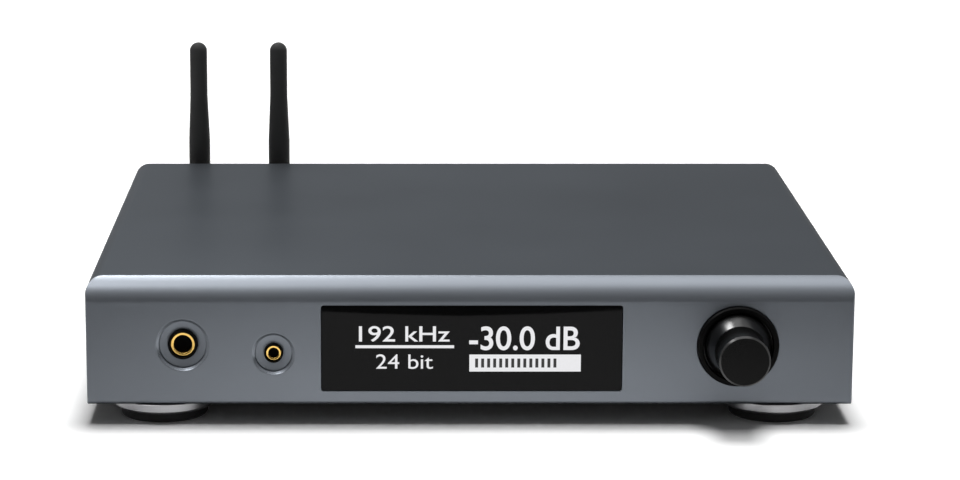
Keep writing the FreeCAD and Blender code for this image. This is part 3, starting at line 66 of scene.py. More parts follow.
# The case, from the frame
PANEL_LOW, PANEL_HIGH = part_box("front_panel")
FRONT = PANEL_LOW.y
PANEL_BACK = PANEL_HIGH.y
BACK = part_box("top_cover")[1].y
BOTTOM = PANEL_LOW.z
TOP = PANEL_HIGH.z
HALF = PANEL_HIGH.x
TOP_CORNER, LOWER_CORNER = mm(6.0, 1.0)
SIDE_EASE, LOWER_EASE = mm(1.0, 1.8)
NOSE = 10.0 * MM
NOSE_Z = TOP - math.sqrt(NOSE ** 2 - (NOSE - (PANEL_BACK - FRONT)) ** 2)
NOSE_SWEEP = 70.2
COVER_WALL = 2.0 * MM

NODES = frame["nodes"]
SLOT_OF = {entry["node"]: entry["material_slot"] for entry in frame["record"]["subparts"]}
BODY_OF = {node: body for body, nodes in frame["record"]["behaviour"]["bodies"].items() for node in nodes}


# Shader maths

class Nodes:
    """A node tree that takes nodes together with their inputs."""

    def __init__(self, tree):
        self.tree = tree

    def add(self, kind, settings=None, *inputs, **named):
        """A node with its settings made first and then its inputs, in order or by name."""
        node = self.tree.nodes.new(kind)
        for key, value in (settings or {}).items():
            setattr(node, key, value)
        for index, value in enumerate(inputs):
            self.join(node.inputs[index], value)
        for key, value in named.items():
            self.join(node.inputs[key.replace("_", " ")], value)
        return node

    def join(self, socket, value):
        if isinstance(value, Field):
            value = value.socket
        if isinstance(value, bpy.types.NodeSocket):
            self.tree.links.new(value, socket)
        else:
            socket.default_value = value

    def ray(self, kind):
        """1 for one kind of ray and 0 for the others."""
        return Field(self, self.add("ShaderNodeLightPath").outputs[f"Is {kind} Ray"])


class Field:
    """A number that varies over a surface. Arithmetic on it adds Math nodes."""

    def __init__(self, nodes, socket):
        self.nodes = nodes
        self.socket = socket

    def maths(self, operation, *others, clamp=False):
        node = self.nodes.add("ShaderNodeMath", {"operation": operation, "use_clamp": clamp}, self, *others)
        return Field(self.nodes, node.outputs[0])

    def __add__(self, other):
        return self.maths("ADD", other)

    def __sub__(self, other):
        return self.maths("SUBTRACT", other)

    def __mul__(self, other):
        return self.maths("MULTIPLY", other)

    def __rsub__(self, other):
        return (self * -1.0) + other

    __radd__ = __add__

    def clamped(self):
        return self.maths("ADD", 0.0, clamp=True)

    def over(self, edge, softness):
        """0 below an edge and 1 above it, with a soft step whose middle is the edge."""
        return ((self - edge).maths("DIVIDE", softness) + 0.5).clamped()


class Finish(Nodes):
    """A material built up from nodes round one Principled shader."""

    def __init__(self, name, **settings):
        self.material = bpy.data.materials.new(name)
        self.material.use_nodes = True
        super().__init__(self.material.node_tree)
        self.shader = self.tree.nodes["Principled BSDF"]
        for socket, value in settings.items():
            self.set(socket.replace("_", " "), value)

    def set(self, socket, value):
        self.join(self.shader.inputs[socket], value)

    def place(self, stretch=(1, 1, 1)):
        """A point on the object, stretched for a pattern."""
        coordinates = self.add("ShaderNodeTexCoord")
        return self.add("ShaderNodeMapping", {"vector_type": "POINT"}, coordinates.outputs["Object"],
                        Scale=stretch).outputs[0]

    def along(self, axis):
        """How far along one axis a point is, in metres."""
        parts = self.add("ShaderNodeSeparateXYZ", None, self.place())
        return Field(self, parts.outputs["XYZ".index(axis)])

    def noise(self, scale, detail=3.0, roughness=0.5, stretch=(1, 1, 1)):
        """Noise from 0 to 1 at so many features a metre."""
        node = self.add("ShaderNodeTexNoise", {"noise_dimensions": "3D"}, self.place(stretch),
                        Scale=scale, Detail=detail, Roughness=roughness)
        return Field(self, node.outputs["Fac"])

    def cells(self, scale, feature="F1"):
        node = self.add("ShaderNodeTexVoronoi", {"feature": feature}, self.place(), Scale=scale)
        return Field(self, node.outputs["Distance"])

    def mix(self, first, second, factor):
        """A colour between two others."""
        node = self.add("ShaderNodeMix", {"data_type": "RGBA"})
        for socket, value in ((0, factor), (6, first), (7, second)):
            self.join(node.inputs[socket], value)
        return node.outputs[2]

    def wear(self, amount, radius=0.5 * MM):
        """Patchy handling wear along edges, from how far a rounded copy of the surface leans there."""
        bevel = self.add("ShaderNodeBevel", {"samples": 4}, radius)
        plain = self.add("ShaderNodeNewGeometry").outputs["Normal"]
        lean = self.add("ShaderNodeVectorMath", {"operation": "DOT_PRODUCT"}, bevel.outputs[0], plain)
        edges = (1.0 - Field(self, lean.outputs["Value"])).over(0.1, 0.12)
        return edges * self.noise(240, 3.0, 0.6).over(0.5, 0.3) * amount

    def colour(self, dark, light, tone, bare=None, worn=None):
        """The base colour, from dark to light by a tone, and bare where it is worn."""
        base = self.mix(dark, light, tone.clamped())
        self.set("Base Color", base if bare is None else self.mix(base, bare, worn))

    def rough(self, field):
        self.set("Roughness", field.clamped())

    def bump(self, height, distance, strength):
        """Relief in metres from a height field."""
        node = self.add("ShaderNodeBump", None, Strength=strength, Distance=distance, Height=height)
        self.set("Normal", node.outputs[0])


def grey(level):
    return (level, level, level, 1.0)


def shade(colour, factor, lift=0.0):
    """A colour made lighter or darker."""
    return (*(channel * factor + lift for channel in colour[:3]), 1.0)


# Finishes

def turned_rims(finish):
    """1 on the turned rims of the two headphone dishes and 0 elsewhere."""
    total = 0.0
    for node, inner, outer in (("large_jack_ring", 8.7, 9.8), ("small_jack_ring", 6.8, 7.9)):
        spot = middle(node)
        x, z = finish.along("X") - spot.x, finish.along("Z") - spot.z
        out = (x * x + z * z).maths("SQRT")
        total = out.over(inner * MM, 0.1 * MM) - out.over(outer * MM, 0.1 * MM) + total
    return total.clamped()


def blasted_aluminium(name, colour, roughness, metallic=1.0, rims=False):
    """Fine blasted and anodised metal: even grain, faint cloudiness and small changes of gloss."""
    finish = Finish(name, Metallic=metallic)
    grain = finish.noise(5200, 2.0, 0.6)
    cloud = finish.noise(14, 3.0, 0.55)
    smear = finish.noise(45, 4.0, 0.6, stretch=(0.35, 1, 1))
    worn = finish.wear(0.3)
    finish.colour(shade(colour, 0.9), shade(colour, 1.12), grain * 0.45 + cloud * 0.55, shade(colour, 1.5), worn)
    rough = smear * 0.08 + (grain * 0.05 + (roughness - 0.065)) - worn * 0.1
    finish.rough(rough - turned_rims(finish) * 0.14 if rims else rough)
    finish.bump(grain, 0.004 * MM, 0.35)
    return finish.material


def satin_paint(name, colour, roughness=0.42, metallic=0.6):
    """Satin paint with the faint pebble of a sprayed coat."""
    finish = Finish(name, Metallic=metallic, Specular_Tint=grey(0.33))
    pebble = finish.noise(1900, 3.0, 0.55)
    cloud = finish.noise(9, 3.0, 0.5)
    worn = finish.wear(0.3)
    finish.colour(shade(colour, 0.92), shade(colour, 1.1), pebble * 0.3 + cloud * 0.7, shade(colour, 1.8), worn)
    finish.rough(cloud * 0.08 + (pebble * 0.06 + (roughness - 0.07)) - worn * 0.2)
    finish.bump(pebble, 0.01 * MM, 0.3)
    return finish.material


def powder_coat(name, colour, roughness=0.55):
    """Fine black texture paint on steel."""
    finish = Finish(name, Metallic=0.0, Specular_IOR_Level=0.4)
    pebble = finish.cells(1500)
    cloud = finish.noise(25, 3.0, 0.5)
    worn = finish.wear(0.5)
    finish.colour(colour, shade(colour, 1.5, 0.004), pebble * 0.5 + cloud * 0.5, grey(0.06), worn)
    finish.rough(cloud * 0.12 + (roughness - 0.06) - worn * 0.2)
    finish.bump(pebble, 0.06 * MM, 0.4)
    return finish.material


def moulded_plastic(name, colour, roughness, specular=0.45, relief=0.01 * MM):
    """Moulded plastic with a fine spark-eroded grain and faint flow marks."""
    finish = Finish(name, Metallic=0.0, Specular_IOR_Level=specular)
    fine = finish.noise(3000, 2.0, 0.5)
    flow = finish.noise(60, 4.0, 0.6, stretch=(1, 1, 0.3))
    worn = finish.wear(0.4)
    finish.colour(colour, shade(colour, 1.35, 0.002), fine * 0.4 + flow * 0.6, shade(colour, 2.0, 0.002), worn)
    finish.rough(flow * 0.1 + (fine * 0.06 + (roughness - 0.08)) - worn * 0.15)
    finish.bump(fine, relief, 0.4)
    return finish.material


def turned_metal(name, colour, roughness):
    """Metal turned on a lathe, with faint rings."""
    finish = Finish(name, Metallic=1.0)
    level = finish.add("ShaderNodeVectorMath", {"operation": "MULTIPLY"}, finish.place(), (1, 1, 0)).outputs[0]
    out = finish.add("ShaderNodeVectorMath", {"operation": "LENGTH"}, level).outputs["Value"]
    rings = finish.add("ShaderNodeTexNoise", {"noise_dimensions": "1D"}, W=out, Scale=4200, Detail=3.0)
    ring = Field(finish, rings.outputs["Fac"])
    cloud = finish.noise(120, 3.0, 0.5)
    finish.colour(shade(colour, 0.86), shade(colour, 1.12), ring * 0.6 + cloud * 0.4)
    finish.rough(ring * 0.1 + (cloud * 0.06 + (roughness - 0.08)))
    finish.bump(ring, 0.006 * MM, 0.3)
    return finish.material


def plated_metal(name, colour, roughness):
    """Bright plating with light handling marks."""
    finish = Finish(name, Metallic=1.0)
    cloud = finish.noise(300, 4.0, 0.6)
    speck = finish.noise(2500, 2.0, 0.5)
    dark = shade(colour, 0.82)
    worn = finish.wear(0.5, 0.3 * MM)
    finish.colour(dark, colour, cloud, dark, worn)
    finish.rough(cloud * 0.14 + (speck * 0.04 + (roughness - 0.09)) + worn * 0.2)
    finish.bump(speck, 0.003 * MM, 0.3)
    return finish.material


def black_gloss(name):
    """The smoked window: polished, near black and faintly smeared."""
    finish = Finish(name, Metallic=0.0, Specular_IOR_Level=0.085)
    smear = finish.noise(30, 3.0, 0.5, stretch=(0.4, 1, 1))
    finish.colour((0.0035, 0.0034, 0.0036, 1), (0.005, 0.0049, 0.0053, 1), smear)
    finish.rough(smear * 0.02 + 0.02)
    return finish.material


def lit_display(name):
    """Lit figures, with the faint unevenness of a small display."""
    finish = Finish(name, Roughness=0.5, Specular_IOR_Level=0.0, Base_Color=grey(0.02), Emission_Strength=0.86)
    dots = finish.noise(900, 2.0, 0.5)
    finish.set("Emission Color", finish.mix(grey(0.86), (0.97, 0.97, 1, 1), (dots * 0.5 + 0.5).clamped()))
    return finish.material


def soft_rubber(name):
    """Soft black rubber, a little dusty."""
    finish = Finish(name, Metallic=0.0, Specular_IOR_Level=0.25)
    grain = finish.noise(1800, 3.0, 0.6)
    dust = finish.noise(40, 4.0, 0.6)
    finish.colour(grey(0.008), grey(0.022), grain * 0.4 + dust * 0.6)
    finish.rough(grain * 0.1 + 0.72)
    finish.bump(grain, 0.03 * MM, 0.5)
    return finish.material


def circuit_board(name):
    """Solder mask with tracks and speckled pads under it."""
    finish = Finish(name, Metallic=0.0)
    tracks = finish.cells(260, "DISTANCE_TO_EDGE").over(0.06, 0.02)
    weave = finish.noise(2400, 2.0, 0.5)
    pads = finish.cells(420).over(0.16, 0.02)
    mask = finish.mix((0.012, 0.085, 0.035, 1), (0.006, 0.045, 0.02, 1), tracks)
    mask = finish.mix((0.45, 0.36, 0.2, 1), mask, pads)
    finish.colour(mask, (0.01, 0.06, 0.03, 1), weave * 0.25)
    finish.rough(weave * 0.15 + 0.32)
    finish.bump(tracks, 0.04 * MM, 0.4)
    return finish.material


SILVER = (0.158, 0.172, 0.192, 1)
COVER_GREY = (0.094, 0.103, 0.114, 1)

# Each finish with its maker, its colour, its roughness and what else the maker takes
FINISHES = {
    "silver_panel": (blasted_aluminium, SILVER, 0.42, 1.0, True),
    "grey_cover": (satin_paint, COVER_GREY, 0.42, 1.0),
    "black_steel": (powder_coat, grey(0.012)),
    "zinc_steel": (plated_metal, (0.55, 0.56, 0.58, 1), 0.34),
    "black_glass": (black_gloss,),
    "black_plastic": (moulded_plastic, grey(0.009), 0.38),
    "white_plastic": (moulded_plastic, grey(0.72), 0.42),
    "red_plastic": (moulded_plastic, (0.35, 0.012, 0.012, 1), 0.22, 0.45, 0.003 * MM),
    "gilt": (plated_metal, (0.86, 0.56, 0.16, 1), 0.2),
    "nickel": (plated_metal, (0.66, 0.64, 0.6, 1), 0.2),
    "foot_metal": (turned_metal, (0.36, 0.36, 0.37, 1), 0.34),
    "pad_rubber": (soft_rubber,),
    "green_board": (circuit_board,),
    "black_anodised": (blasted_aluminium, grey(0.022), 0.28, 0.7),
    "core_steel": (satin_paint, grey(0.16), 0.4),
    "winding_tape": (satin_paint, (0.5, 0.33, 0.05, 1), 0.35, 0.0),
    "capacitor_sleeve": (moulded_plastic, (0.01, 0.016, 0.05, 1), 0.22),
    "grey_cable": (moulded_plastic, grey(0.3), 0.5),
    "display_white": (lit_display,),
    "print_white": (moulded_plastic, grey(0.42), 0.6, 0.2, 0.002 * MM),
    "jack_black": (moulded_plastic, grey(0.001), 0.5, 0.05),
    "collar_black": (moulded_plastic, grey(0.0012), 0.3, 0.05, 0.002 * MM),
    # Near-black for the plug inside each headphone socket's bore: painted shade.
    "deep_black": (moulded_plastic, grey(0.0005), 0.6, 0.02),
    "display_black": (moulded_plastic, grey(0.006), 0.3),
    "aerial_black": (moulded_plastic, grey(0.058), 0.4, 0.03, 0.006 * MM),
    "knob_black": (moulded_plastic, grey(0.0009), 0.2, 0.42, 0.001 * MM),
    "knob_face": (moulded_plastic, grey(0.0009), 0.26, 0.115, 0.001 * MM),
}
finishes = {name: maker(name, *values) for name, (maker, *values) in FINISHES.items()}

for node, slot in SLOT_OF.items():
    NODES[node].data.materials.clear()
    NODES[node].data.materials.append(finishes[slot])


# Meshes

def linked(name, data):
    """A new object in the scene."""
    made = bpy.data.objects.new(name, data)
    bpy.context.collection.objects.link(made)
    return made


def evaluated(maker):
    """The mesh that an object comes out as."""
    return bpy.data.meshes.new_from_object(maker.evaluated_get(bpy.context.evaluated_depsgraph_get()))


def piece(name, mesh, finish, body, *nodes, slot=None, smooth=32):
    """A finished piece: its mesh gets finishes and smooth shading, rides on a body and stands for CAD nodes."""
    mesh.name = name
    numbers = [face.material_index for face in mesh.polygons]
    mesh.materials.clear()
    for one in [finish] if isinstance(finish, str) else finish:
        mesh.materials.append(finishes[one])
    mesh.polygons.foreach_set("material_index", numbers)
    mesh.shade_smooth()
    mesh.set_sharp_from_angle(angle=math.radians(smooth))
    made = linked(name, mesh)
    weighted = made.modifiers.new("even_shading", "WEIGHTED_NORMAL")
    weighted.keep_sharp = True
    weighted.weight = 100
    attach(made, body)
    if nodes:
        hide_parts(*nodes)
    return made


def stand_in(name, mesh, node, *finish, smooth=32):
    """A piece in one CAD node's place, with that node's body and, where none is named, its finish."""
    return piece(name, mesh, finish or SLOT_OF[node], BODY_OF[node], node, slot=SLOT_OF[node], smooth=smooth)


def plain_mesh(sheet):
    """The mesh of a bmesh as it is."""
    mesh = bpy.data.meshes.new("mesh")
    sheet.to_mesh(mesh)
    sheet.free()
    return mesh


def mesh_of(sheet):
    """The mesh of a bmesh, with doubles merged and its faces turned outwards."""
    bmesh.ops.remove_doubles(sheet, verts=sheet.verts, dist=1e-7)
    bmesh.ops.recalc_face_normals(sheet, faces=sheet.faces)
    return plain_mesh(sheet)


def eased(points, radius, steps=4, closed=False):
    """An outline with its corners rounded by a radius, or by a point's own third value."""
    out = []
    count = len(points)
    for index, point in enumerate(points):
        here = Vector(point[:2])
        own = point[2] if len(point) > 2 else radius
        back = Vector(points[index - 1][:2]) - here
        ahead = Vector(points[(index + 1) % count][:2]) - here
        end = not closed and index in (0, count - 1)
        turn = 0.0 if own <= 0 or end else math.pi - back.angle(ahead)
        if turn < 0.02:
            out.append(here)
            continue
        cut = min(own * math.tan(turn / 2), 0.45 * back.length, 0.45 * ahead.length)
        start = here + back.normalized() * cut
        end = here + ahead.normalized() * cut
        for step in range(steps + 1):
            t = step / steps
            out.append(start * (1 - t) ** 2 + here * 2 * t * (1 - t) + end * t ** 2)
    return out


def arc(centre, radius, start, end, steps):
    """Points on an arc between two angles in degrees."""
    angles = [math.radians(start + (end - start) * step / steps) for step in range(steps + 1)]
    return [(centre[0] + radius * math.cos(a), centre[1] + radius * math.sin(a)) for a in angles]


def circle(centre, radius, count=96):
    return arc(centre, radius, 0, 360, count)[:-1]


def rounded_outline(x, z, radii, steps=10):
    """A rectangle's outline as (x, z), anticlockwise from its lower left corner, with its lower and upper radii."""
    low, high = radii
    centres = ((x[0] + low, z[0] + low, low), (x[1] - low, z[0] + low, low),
               (x[1] - high, z[1] - high, high), (x[0] + high, z[1] - high, high))
    return [point for number, (cx, cz, radius) in enumerate(centres)
            for point in arc((cx, cz), radius, 180 + 90 * number, 270 + 90 * number, steps)]


def grown(x, z, radius, amount, steps=8):
    """A rounded rectangle's outline, grown all round by an amount."""
    x, z = (x[0] - amount, x[1] + amount), (z[0] - amount, z[1] + amount)
    return rounded_outline(x, z, (radius + amount,) * 2, steps)


def bridged(sheet, first, second):
    """Joins two closed rows of vertices by faces. A row of one vertex makes a tip."""
    count = max(len(first), len(second))
    for n in range(count):
        nxt = (n + 1) % count
        corners = (first[n % len(first)], first[nxt % len(first)], second[nxt % len(second)], second[n % len(second)])
        unique = list(dict.fromkeys(corners))
        if len(unique) > 2:
            sheet.faces.new(unique)


def revolved(sheet, centre, axis, outline, segments=96, closed=False):
    """Adds a turned surface to a bmesh, from an outline of (radius, place along the axis)."""
    rows = []
    for radius, along in outline:
        row = []
        for a, b in circle((0, 0), radius, segments if radius > 1e-9 else 1):
            spot = {"X": (along, a, b), "Y": (a, along, b), "Z": (a, b, along)}[axis]
            row.append(sheet.verts.new(Vector(centre) + Vector(spot)))
        rows.append(row)
    for first, second in zip(rows, rows[1:] + rows[:1] if closed else rows[1:]):
        bridged(sheet, first, second)
    return sheet


def turned(centre, axis, outline, radius=0.2 * MM, segments=96, closed=True, steps=4):
    """The mesh of one turned piece whose outline's corners are eased."""
    return mesh_of(revolved(bmesh.new(), centre, axis, eased(outline, radius, steps, closed), segments, closed))


def box_into(sheet, low, high):
    """Adds a box to a bmesh."""
    verts = bmesh.ops.create_cube(sheet, size=1.0)["verts"]
    size = Vector(high) - Vector(low)
    centre = (Vector(high) + Vector(low)) / 2
    for vert in verts:
        vert.co = vert.co * size + centre
    return verts


def bevelled(sheet, width, segments=3, angle=25):
    """Eases every sharp edge of a bmesh."""
    edges = [e for e in sheet.edges if e.is_manifold and e.calc_face_angle(0) > math.radians(angle)]
    bmesh.ops.bevel(sheet, geom=edges, offset=width, segments=segments, profile=0.5, affect="EDGES", clamp_overlap=True)
    return sheet


def eased_box(low, high, width=0.2 * MM, steps=2):
    sheet = bmesh.new()
    box_into(sheet, low, high)
    return mesh_of(bevelled(sheet, width, steps))


def inside(point, loop):
    """Whether a point lies inside a loop."""
    x, z = point
    hit = False
    for (ax, az), (bx, bz) in zip(loop, loop[1:] + loop[:1]):
        if (az > z) != (bz > z) and x < (bx - ax) * (z - az) / (bz - az) + ax:
            hit = not hit
    return hit


# Front panel

LARGE = middle("large_jack_ring")
SMALL = middle("small_jack_ring")
KNOB = middle("volume_knob")
WINDOW_LOW, WINDOW_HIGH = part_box("display_window")
WINDOW_FLANGE, WINDOW_FLANGE_T, WINDOW_GAP, WINDOW_CORNER = mm(2.5, 1.4, 0.1, 1.0)
WINDOW_X = (WINDOW_LOW.x + WINDOW_FLANGE, WINDOW_HIGH.x - WINDOW_FLANGE)
WINDOW_Z = (WINDOW_LOW.z + WINDOW_FLANGE, WINDOW_HIGH.z - WINDOW_FLANGE)
# A dish is an eased rim, a steep wall and a floor that falls a little towards the socket
DISHES = ((LARGE, 8.8 * MM, 5.55 * MM), (SMALL, 6.9 * MM, 3.55 * MM))
DISH_RIM, DISH_SLOPE, DISH_WALL, DISH_DEPTH, WALL_WIDTH = mm(1.0, 0.74, 1.9, 2.2, 0.25)
RIM_START, RIM_EASE = 0.55, 0.25
COLLAR_SEAT_R, COLLAR_SEAT, SHAFT_HOLE_R = mm(14.9, 1.0, 4.6)
EDGE = 0.22 * MM


def arc_drop(depth, radius):
    """How far a quarter round has dropped at a distance from its start."""
    depth = min(max(depth, 0.0), radius)
    return radius - math.sqrt(radius ** 2 - depth ** 2)


def dish_drop(distance, dish_r, hole_r):
    """The depth of a headphone socket's dish at a distance from its axis."""
    if distance > dish_r + DISH_RIM:
        return 0.0
    if distance > dish_r:
        t = (dish_r + DISH_RIM - distance) / DISH_RIM
        return DISH_SLOPE * t * (RIM_START + (1 - RIM_START) * min(t / RIM_EASE, 1.0))
    into = dish_r - distance
    if into < WALL_WIDTH:
        return DISH_SLOPE + (DISH_WALL - DISH_SLOPE) * math.sin(into / WALL_WIDTH * math.pi / 2)
    return DISH_WALL + (DISH_DEPTH - DISH_WALL) * (into - WALL_WIDTH) / (dish_r - WALL_WIDTH - hole_r)


def beyond(value, ends):
    """How far a place lies past the straight part of one side of the window."""
    return max(abs(value - (ends[0] + ends[1]) / 2) - (ends[1] - ends[0]) / 2 + WINDOW_CORNER, 0)


def panel_depth(x, z):
    """The panel's front surface, measured back from its foremost plane."""
    to_collar = math.hypot(x - KNOB.x, z - KNOB.z) - COLLAR_SEAT_R
    to_window = math.hypot(beyond(x, WINDOW_X), beyond(z, WINDOW_Z)) - WINDOW_CORNER
    return max(
        arc_drop(z - NOSE_Z, NOSE),
        arc_drop(LOWER_EASE - (z - BOTTOM), LOWER_EASE),
        arc_drop(abs(x) - (HALF - SIDE_EASE), SIDE_EASE),
        arc_drop(EDGE - to_collar, EDGE),
        arc_drop(EDGE - to_window, EDGE),
        *(dish_drop(math.hypot(x - spot.x, z - spot.z), dish_r, hole_r) for spot, dish_r, hole_r in DISHES))


def front_surface_loops():
    """The loops, holes, rows and columns that the front surface's mesh follows, in (x, z)."""
    knob = (KNOB.x, KNOB.z)
    holes = [circle((spot.x, spot.z), hole_r) for spot, dish_r, hole_r in DISHES]
    holes += [circle(knob, COLLAR_SEAT_R, 128), grown(WINDOW_X, WINDOW_Z, WINDOW_CORNER, 0.0)]
    loops = [rounded_outline((-HALF, HALF), (BOTTOM, TOP), (LOWER_CORNER, TOP_CORNER), 16)] + holes
    for spot, dish_r, hole_r in DISHES:
        rings = [dish_r + DISH_RIM * t for t in (0.0, 0.25, 0.5, 0.75, 0.83, 0.91, 1.0, 1.12)]
        rings += [hole_r + (dish_r - hole_r) * t for t in (0.3, 0.6)]
        rings += [dish_r - WALL_WIDTH * t for t in (0.2, 0.4, 0.7, 1.0)]
        loops += [circle((spot.x, spot.z), radius) for radius in rings]
    for share in (0.25, 0.5, 0.75, 1.0, 1.3):
        loops.append(circle(knob, COLLAR_SEAT_R + EDGE * share, 128))
        loops.append(grown(WINDOW_X, WINDOW_Z, WINDOW_CORNER, EDGE * share))
    falls = [1 - math.sin(math.radians(15 * step)) for step in range(7)]
    rows = [NOSE_Z + z for x, z in arc((0, 0), NOSE, 0, NOSE_SWEEP, 26)]
    rows += [BOTTOM + LOWER_EASE * fall for fall in falls]
    columns = [side * (HALF - SIDE_EASE * fall) for fall in falls[1:] for side in (-1, 1)]
    return loops, holes, rows, columns


def front_panel_mesh():
    """The panel: a front surface that follows its depth, with walls behind its edges and a flat back."""
    loops, holes, rows, columns = front_surface_loops()
    points, edges = [], []

    def follow(line, closed=True):
        start, count = len(points), len(line)
        points.extend(Vector(p) for p in line)
        edges.extend((start + n, start + (n + 1) % count) for n in range(count if closed else count - 1))

    for loop in loops:
        follow(loop)
    for z in rows:
        if BOTTOM + 1e-6 < z < TOP - 1e-6:
            follow([(-HALF - MM, z), (HALF + MM, z)], False)
    for x in columns:
        if abs(x) < HALF - 1e-6:
            follow([(x, BOTTOM - MM), (x, TOP + MM)], False)
    spots, _, faces, _, _, _ = geometry.delaunay_2d_cdt(points, edges, [], 0, 1e-7)
    sheet = bmesh.new()
    verts = [sheet.verts.new((p.x, FRONT + panel_depth(p.x, p.y), p.y)) for p in spots]
    for face in faces:
        centre = sum((spots[i] for i in face), Vector((0, 0))) / len(face)
        if inside(centre, loops[0]) and not any(inside(centre, hole) for hole in holes):
            sheet.faces.new([verts[i] for i in face])
    for vert in [v for v in sheet.verts if not v.link_faces]:
        sheet.verts.remove(vert)
    walls = bmesh.ops.extrude_edge_only(sheet, edges=[e for e in sheet.edges if e.is_boundary])["geom"]
    for vert in (g for g in walls if isinstance(g, bmesh.types.BMVert)):
        vert.co.y = PANEL_BACK
    back_edges = [g for g in walls if isinstance(g, bmesh.types.BMEdge) and g.is_boundary]
    bmesh.ops.triangle_fill(sheet, edges=back_edges, use_beauty=True)
    return mesh_of(sheet)


def collar_seat_mesh():
    """The turned recess that the collar sits in."""
    seat = FRONT + COLLAR_SEAT
    return turned((KNOB.x, 0, KNOB.z), "Y", [
        (COLLAR_SEAT_R, seat), (SHAFT_HOLE_R, seat), (SHAFT_HOLE_R, PANEL_BACK), (COLLAR_SEAT_R, PANEL_BACK)], 0.0, 128)


stand_in("face_panel", front_panel_mesh(), "front_panel", smooth=28)
# The seat is finished black though it belongs to the silver panel: painted shade on the floor of the recess round the
# collar.
piece("collar_seat", collar_seat_mesh(), "black_anodised", "case", slot="silver_panel")


# Top cover

COVER_BACK_EASE, COVER_LEAD, COVER_FOOT_EASE = mm(0.8, 0.12, 0.3)
LIP_LOW, LIP_T, LIP_WIDTH, LIP_OVERLAP, LIP_PAST_STUDS = mm(1.6, 1.6, 9.0, 0.5, 9.0)


def cover_section(inset):
    """The cover's closed section in (x, z): round its outside, drawn in by an inset, and back along its inside."""
    half, high, radius = HALF - inset, TOP - inset, TOP_CORNER - inset
    wall, roof, inner = HALF - COVER_WALL, TOP - COVER_WALL, TOP_CORNER - COVER_WALL
    foot = BOTTOM + COVER_FOOT_EASE
    return [
        (half - COVER_FOOT_EASE, BOTTOM), (half, foot),
        *arc((half - radius, high - radius), radius, 0, 90, 16),
        *arc((radius - half, high - radius), radius, 90, 180, 16),
        (-half, foot), (COVER_FOOT_EASE - half, BOTTOM), (-wall, BOTTOM),
        *arc((inner - wall, roof - inner), inner, 180, 90, 8),
        *arc((wall - inner, roof - inner), inner, 90, 0, 8),
        (wall, BOTTOM),
    ]


def cover_mesh():
    """The cover: top and sides in one, with a lip inside each lower edge."""
    sheet = bmesh.new()
    stations = [(PANEL_BACK, COVER_LEAD), (PANEL_BACK + COVER_LEAD, 0.0), (BACK - COVER_BACK_EASE, 0.0)]
    stations += [(BACK - COVER_BACK_EASE + y, COVER_BACK_EASE - inset)
                 for inset, y in arc((0, 0), COVER_BACK_EASE, 0, 90, 6)[1:]]
    rows = [[sheet.verts.new((x, y, z)) for x, z in cover_section(inset)] for y, inset in stations]
    for first, second in zip(rows, rows[1:]):
        bridged(sheet, first, second)
    for row in (rows[0], rows[-1]):
        loop = [sheet.edges.get((row[n], row[(n + 1) % len(row)])) for n in range(len(row))]
        bmesh.ops.triangle_fill(sheet, edges=loop, use_beauty=True)
    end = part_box("speaker_studs")[0].y + LIP_PAST_STUDS
    low = BOTTOM + LIP_LOW
    for side in (-1, 1):
        x = sorted(side * (HALF - COVER_WALL + reach) for reach in (LIP_OVERLAP, -LIP_WIDTH))
        box_into(sheet, (x[0], PANEL_BACK, low), (x[1], end, low + LIP_T))
    return mesh_of(sheet)


stand_in("cover_shell", cover_mesh(), "top_cover", smooth=28)


# Display window and what it shows

GLASS_FRONT = WINDOW_LOW.y
GLASS_EASE = 0.18 * MM
FIGURE_LIFT = 0.03 * MM


def window_mesh():
    """The window: an eased pane that stands on a wider flange behind the panel."""
    sheet = bmesh.new()
    x = (WINDOW_X[0] + WINDOW_GAP, WINDOW_X[1] - WINDOW_GAP)
    z = (WINDOW_Z[0] + WINDOW_GAP, WINDOW_Z[1] - WINDOW_GAP)
    stations = [(GLASS_EASE - up, GLASS_FRONT + GLASS_EASE - along) for along, up in arc((0, 0), GLASS_EASE, 0, 90, 3)]
    rows = [[sheet.verts.new((px, y, pz)) for px, pz in grown(x, z, WINDOW_CORNER, -inset)]
            for inset, y in stations + [(0.0, WINDOW_HIGH.y)]]
    for first, second in zip(rows, rows[1:]):
        bridged(sheet, first, second)
    sheet.faces.new(rows[0])
    sheet.faces.new(rows[-1])
    box_into(sheet, (WINDOW_LOW.x, WINDOW_HIGH.y - WINDOW_FLANGE_T, WINDOW_LOW.z), WINDOW_HIGH)
    return mesh_of(sheet)


stand_in("display_glass", window_mesh(), "display_window")


def words(name, text, x, z, finish="display_white", y=GLASS_FRONT - FIGURE_LIFT, slot="black_glass", weight=0.0):
    """Words that fill a width and a height on an upright face, as a flat mesh."""
    curve = bpy.data.curves.new(name, "FONT")
    curve.body = text
    curve.size = 1.0
    curve.offset = weight
    maker = linked(name, curve)
    bpy.context.view_layer.update()
    mesh = evaluated(maker)
    bpy.data.objects.remove(maker)
    xs = [v.co.x for v in mesh.vertices]
    ys = [v.co.y for v in mesh.vertices]
    for v in mesh.vertices:
        across = (v.co.x - min(xs)) / (max(xs) - min(xs))
        up = (v.co.y - min(ys)) / (max(ys) - min(ys))
        v.co = (x[0] + across * (x[1] - x[0]), y, z[0] + up * (z[1] - z[0]))
    return piece(name, mesh, finish, "case", slot=slot)


def plate(name, x, z):
    """A flat lit patch on the display."""
    sheet = bmesh.new()
    y = GLASS_FRONT - FIGURE_LIFT
    sheet.faces.new([sheet.verts.new(p) for p in ((x[0], y, z[0]), (x[1], y, z[0]), (x[1], y, z[1]), (x[0], y, z[1]))])
    return piece(name, plain_mesh(sheet), "display_white", "case", slot="black_glass")


def rise(low, high):
    """Two heights above the panel's lower edge, given in millimetres."""
    return (BOTTOM + low * MM, BOTTOM + high * MM)


